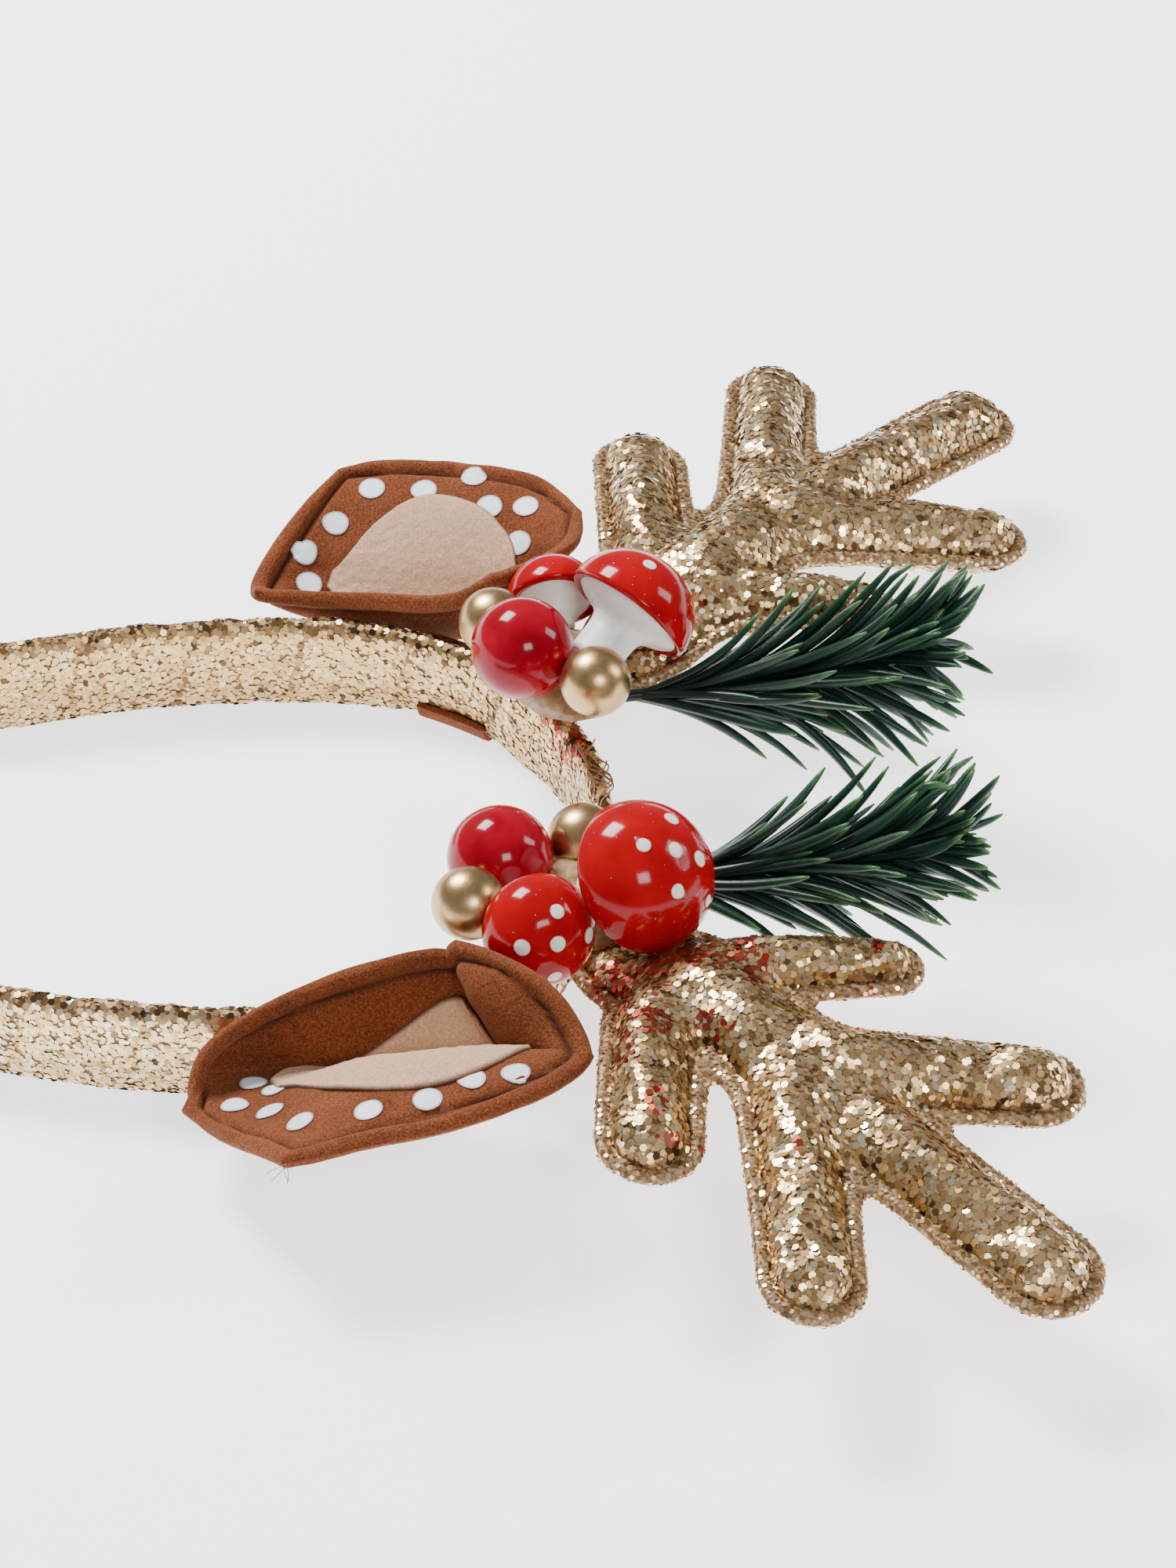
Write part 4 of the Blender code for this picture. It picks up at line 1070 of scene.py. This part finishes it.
def make_toadstool(side_name, size):
    """Domed red cap with raised spots on a white stem that flares out under it."""
    side = SIDES[side_name]
    offset, direction, diameter = TOADSTOOLS[side_name, size]
    place = antler_root(side) + Vector((offset[0], side * offset[1], offset[2]))
    axis = Vector((direction[0], side * direction[1], direction[2])).normalized()
    radius, height = 0.5 * diameter, 0.44 * diameter
    dome = []
    for turn in np.linspace(0.0, 0.5 * math.pi, 19).tolist():
        out = math.sin(turn)
        dome.append((radius * out, height * math.cos(turn) + 0.0004 * math.sin(math.pi * out)))
    lip = [
        (radius, -0.30 * CAP_LIP), (radius - 0.35 * CAP_LIP, -0.85 * CAP_LIP), (radius - CAP_LIP, -CAP_LIP),
        (radius - 1.7 * CAP_LIP, -0.6 * CAP_LIP), (0.45 * radius, 0.0), (0.0, 0.0),
    ]
    cap = add_piece(
        f"cap_{size}_{side_name}", turned(dome + lip, place, axis), CAP_RED, "cap_red",
        f"toadstool_cap_{size}_{side_name}", smooth=70.0,
    )
    reach = radius - 1.6 * CAP_LIP
    stem_radius, length = 0.5 * STEM_DIAMETERS[size], STEM_LENGTHS[size]
    outline = [
        (reach, -0.5 * CAP_LIP), (0.86 * reach, -1.5 * CAP_LIP),
        (stem_radius + 1.4 * CAP_LIP, -2.9 * CAP_LIP), (stem_radius + 0.2 * CAP_LIP, -4.6 * CAP_LIP),
        (stem_radius, -max(length * 0.75, 5.4 * CAP_LIP)),
        (stem_radius * 0.98, -length), (0.75 * stem_radius, -length - 0.5 * CAP_LIP),
    ]
    sides = [tuple(spline(outline, i / 30)) for i in range(31)]
    profile = [(0.0, -GAP), (0.6 * reach, -GAP), *sides, (0.0, -length - 0.6 * CAP_LIP)]
    add_piece(
        f"stem_{size}_{side_name}", turned(profile, place, axis), STEM_WHITE, "stem_white",
        f"toadstool_stem_{size}_{side_name}",
    )
    surface = BVHTree.FromObject(cap, bpy.context.evaluated_depsgraph_get())
    bm = bmesh.new()
    hubs = []
    for index, way in enumerate(CAP_SPOTS[side_name, size]):
        way = Vector((way[0], side * way[1], way[2])).normalized()
        spot, normal, _, _ = surface.ray_cast(place + way * 0.05, -way)
        if spot is None:
            continue
        size_here = SPOT_RADIUS * (1.0 + 0.12 * math.sin(7.0 * index))
        across = normal.orthogonal().normalized()
        other = normal.cross(across)
        made = bmesh.ops.create_uvsphere(bm, u_segments=20, v_segments=10, radius=1.0)["verts"]
        tear = 1.0 if (side_name, size, index) in TEARS else 0.0
        for vert in made:
            x, y, z = vert.co
            pull = tear * max(y, 0.0)
            flat = spot + (across * x * (1.0 - 0.4 * pull) + other * y * (1.0 + 0.6 * pull)) * size_here
            down, lean, _, _ = surface.find_nearest(flat)
            vert.co = down + lean * (0.00028 * z if z > 0 else 0.0001 * z)
        hubs.append((spot, size_here))
    bmesh.ops.recalc_face_normals(bm, faces=bm.faces[:])
    spots = add_piece(f"cap_{size}_{side_name}_spots", bm, SPOT_PAINT, "cap_red", smooth=180.0)
    carry(spots, "rim", [
        min((vert.co - hub).length / size_here for hub, size_here in hubs) for vert in spots.data.vertices
    ])


def make_ball(node, name, material, slot, seed):
    """A lacquered ball, hardly out of round, where its solid is."""
    low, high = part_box(node)
    centre, radius = (low + high) / 2.0, 0.5 * (high.z - low.z)
    bm = bmesh.new()
    bmesh.ops.create_uvsphere(bm, u_segments=56, v_segments=36, radius=1.0)
    for vert in bm.verts:
        way = vert.co.normalized()
        uneven = 1.0 + 0.006 * noise.noise(way * 1.6 + Vector((seed, 0.0, 0.0)))
        vert.co = centre + way * radius * uneven
    bmesh.ops.recalc_face_normals(bm, faces=bm.faces[:])
    add_piece(name, bm, material, slot, node, smooth=180.0)


for side_name in SIDES:
    make_toadstool(side_name, "small")
    make_toadstool(side_name, "big")
    make_ball(f"berry_{side_name}", f"berry_{side_name}_ball", BERRY, "berry_red", 1.0)
    for letter, seed in (("a", 2.0), ("b", 3.0)):
        bead = f"bead_{letter}_{side_name}"
        make_ball(f"gold_{bead}", bead, SATIN_GOLD, "bead_gold", seed)


def make_glue_bed(side_name):
    """Low lump of glue, softened from its solid."""
    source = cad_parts[f"glue_bed_{side_name}"].data
    bm = bmesh.new()
    bm.from_mesh(source)
    bmesh.ops.remove_doubles(bm, verts=bm.verts[:], dist=1e-6)
    bmesh.ops.subdivide_edges(bm, edges=bm.edges[:], cuts=1, use_grid_fill=True)
    for _ in range(2):
        bmesh.ops.smooth_vert(bm, verts=bm.verts[:], factor=0.4)
    bmesh.ops.recalc_face_normals(bm, faces=bm.faces[:])
    add_piece(f"glue_{side_name}", bm, GLUE, "glue", f"glue_bed_{side_name}")


for side_name in SIDES:
    make_glue_bed(side_name)


def make_threads():
    """Brown sewing thread caught under the ribbon's end at the crown, and loose ends at an ear's tip."""
    rng = np.random.default_rng(77)
    bm = bmesh.new()
    for index in range(9):
        first = rng.uniform(-4.0, 8.0)
        points = []
        for i in range(9):
            point, outward = arc_point(first + 1.6 * i)
            out = 0.5 * BAND_THICKNESS * math.cos(0.5 * i + index) * 0.8
            wave = 0.0006 * math.sin(1.3 * i + 2.0 * index)
            above = Vector((0.0, 0.0, BAND_WIDTH + GAP + 0.0004 * rng.random()))
            points.append(point + outward * (out + wave) + above)
        rod(bm, points, lambda share: 0.00017, 5)
    tip = ear_point(0.02, 0.99, "left")
    for index in range(4):
        way = Vector((rng.uniform(-1.0, 0.4), -1.0, rng.uniform(-0.6, 0.2)))
        bends = [Vector((0.0004 * math.sin(i + index), 0.0, 0.0)) for i in range(4)]
        points = [tip + way * 0.0011 * i + bend for i, bend in enumerate(bends)]
        rod(bm, points, lambda share: 0.00008, 4)
    add_piece("loose_threads", bm, THREAD, "tab_suede", smooth=180.0)


make_threads()


# Sprigs

SPRIG_LENGTH = 0.058
SPRIG_RISE = 0.0125
NEEDLES = 112
GOLDEN_ANGLE = 137.508
# The solids end a little above this height
NEEDLE_TOP = 0.0515


def sprig_line(share, side):
    """Point of the sprig's stem."""
    start = antler_root(1.0)
    lift = ROOT_THICKNESS + GAP + 0.0013
    spot = start + Vector((
        0.0120 + SPRIG_LENGTH * share, -0.0055 + 0.0030 * share, lift + SPRIG_RISE * share**1.6,
    ))
    spot.y *= side
    return spot


def make_sprig(side_name):
    """Moulded pine needles that leave the stem all round, run forward and curl away from it."""
    side = SIDES[side_name]
    rng = np.random.default_rng(40 + int(side))
    bm = bmesh.new()
    tips = []
    middle = [sprig_line(i / 8, side) for i in range(9)]
    stem = rod(bm, middle, lambda share: 0.0013 * (1.0 - 0.45 * share), 8)
    tips += [(vert, 0.1) for vert in stem]
    for index in range(NEEDLES):
        share = 0.04 + 0.94 * (index / (NEEDLES - 1)) ** 0.9
        turn = math.radians(GOLDEN_ANGLE) * index + rng.normal(0.0, 0.12)
        outward = Vector((0.0, side * math.cos(turn), math.sin(turn)))
        shorter = 1.0 - 0.5 * float(smooth_step((share - 0.55) / 0.45))
        young = float(smooth_step(share / 0.25))
        spread = 0.0176 * shorter * rng.uniform(0.60, 1.12) * (0.72 + 0.28 * young)
        forward = (0.0240 + 0.009 * rng.random()) * (1.0 - 0.45 * float(smooth_step((share - 0.5) / 0.5)))
        droop = 0.0030 * rng.normal() + 0.0018
        start = sprig_line(share, side)
        points = []
        for i in range(6):
            t = i / 5
            bend = 0.62 * t + 0.38 * t**2.2
            spot = start + outward * spread * bend + Vector((
                forward * (1.18 * t - 0.18 * t**2), 0.0, (droop + 0.003 * max(outward.z, 0.0)) * t * t,
            ))
            spot.y += side * 0.0026 * t * math.sin(2.2 * t + index)
            spot.z = min(spot.z, NEEDLE_TOP)
            points.append(spot)
        thick = 0.00102 * rng.uniform(0.85, 1.15)
        made = rod(bm, points, lambda t, thick=thick: thick * (0.75 + 0.5 * t) * (1.0 - t**5 * 0.85), 5)
        origin, end = points[0], points[-1]
        reach = (end - origin).length
        tips += [(vert, min((vert.co - origin).length / reach, 1.0)) for vert in made]
    bm.verts.index_update()
    values = np.zeros(len(bm.verts))
    for vert, value in tips:
        if vert.is_valid:
            values[vert.index] = value
    node = f"sprig_{side_name}"
    sprig = add_piece(f"{node}_needles", bm, PINE, "pine_green", node, smooth=180.0)
    carry(sprig, "tip", values)


for side_name in SIDES:
    make_sprig(side_name)


# Room, light and camera


def make_room():
    """Pale table and backdrop in one sheet."""
    bm = bmesh.new()
    bmesh.ops.create_grid(bm, x_segments=2, y_segments=2, size=4.0)
    mesh = bpy.data.meshes.new("table_top")
    bm.to_mesh(mesh)
    bm.free()
    pale = Finish(
        "table_pale", (0.86, 0.86, 0.865), 0.75, Specular_IOR_Level=0.15,
        Emission_Color=(0.97, 0.98, 1.0, 1.0), Emission_Strength=1.8,
    )
    pale.colour(pale.ramp(pale.grain(3.0), (0.3, (0.90, 0.90, 0.91)), (0.7, (0.91, 0.91, 0.92))))
    mesh.materials.append(pale.material)
    floor = put("table_top", mesh)


def add_light(name, place, size, power):
    """A soft box that faces the headband."""
    light = bpy.data.lights.new(name, "AREA")
    light.shape = "RECTANGLE"
    light.size, light.size_y = size
    light.energy = power
    lamp = put(name, light)
    lamp.location = place
    lamp.rotation_euler = (Vector((0.02, 0.0, 0.01)) - Vector(place)).to_track_quat("-Z", "Y").to_euler()


def make_world():
    """Even, nearly white surroundings."""
    world = bpy.data.worlds.new("studio")
    world.use_nodes = True
    background = world.node_tree.nodes["Background"]
    background.inputs["Color"].default_value = (0.96, 0.97, 1.0, 1.0)
    background.inputs["Strength"].default_value = 0.30
    bpy.context.scene.world = world


def make_camera():
    """Camera at the photograph's place: 40 degrees above the table, a metre off, a long lens."""
    camera = bpy.data.cameras.new("photo_camera")
    camera.lens = 117.0
    camera.sensor_width = 36.0
    holder = put("photo_camera", camera)
    aim = Vector((PHOTO_X, 0.019, 0.010))
    rise = math.radians(40.0)
    back = Vector((0.0, -math.cos(rise), math.sin(rise)))
    holder.location = aim + back * 1.0
    holder.rotation_euler = (-back).to_track_quat("-Z", "Y").to_euler()
    bpy.context.scene.camera = holder


make_room()
make_world()
add_light("key", (-0.50, 0.62, 0.95), (0.42, 0.42), 31.0)
add_light("front", (0.30, -0.80, 0.75), (0.35, 0.25), 5.0)
add_light("side", (0.9, 0.15, 0.55), (0.25, 0.4), 4.0)
make_camera()
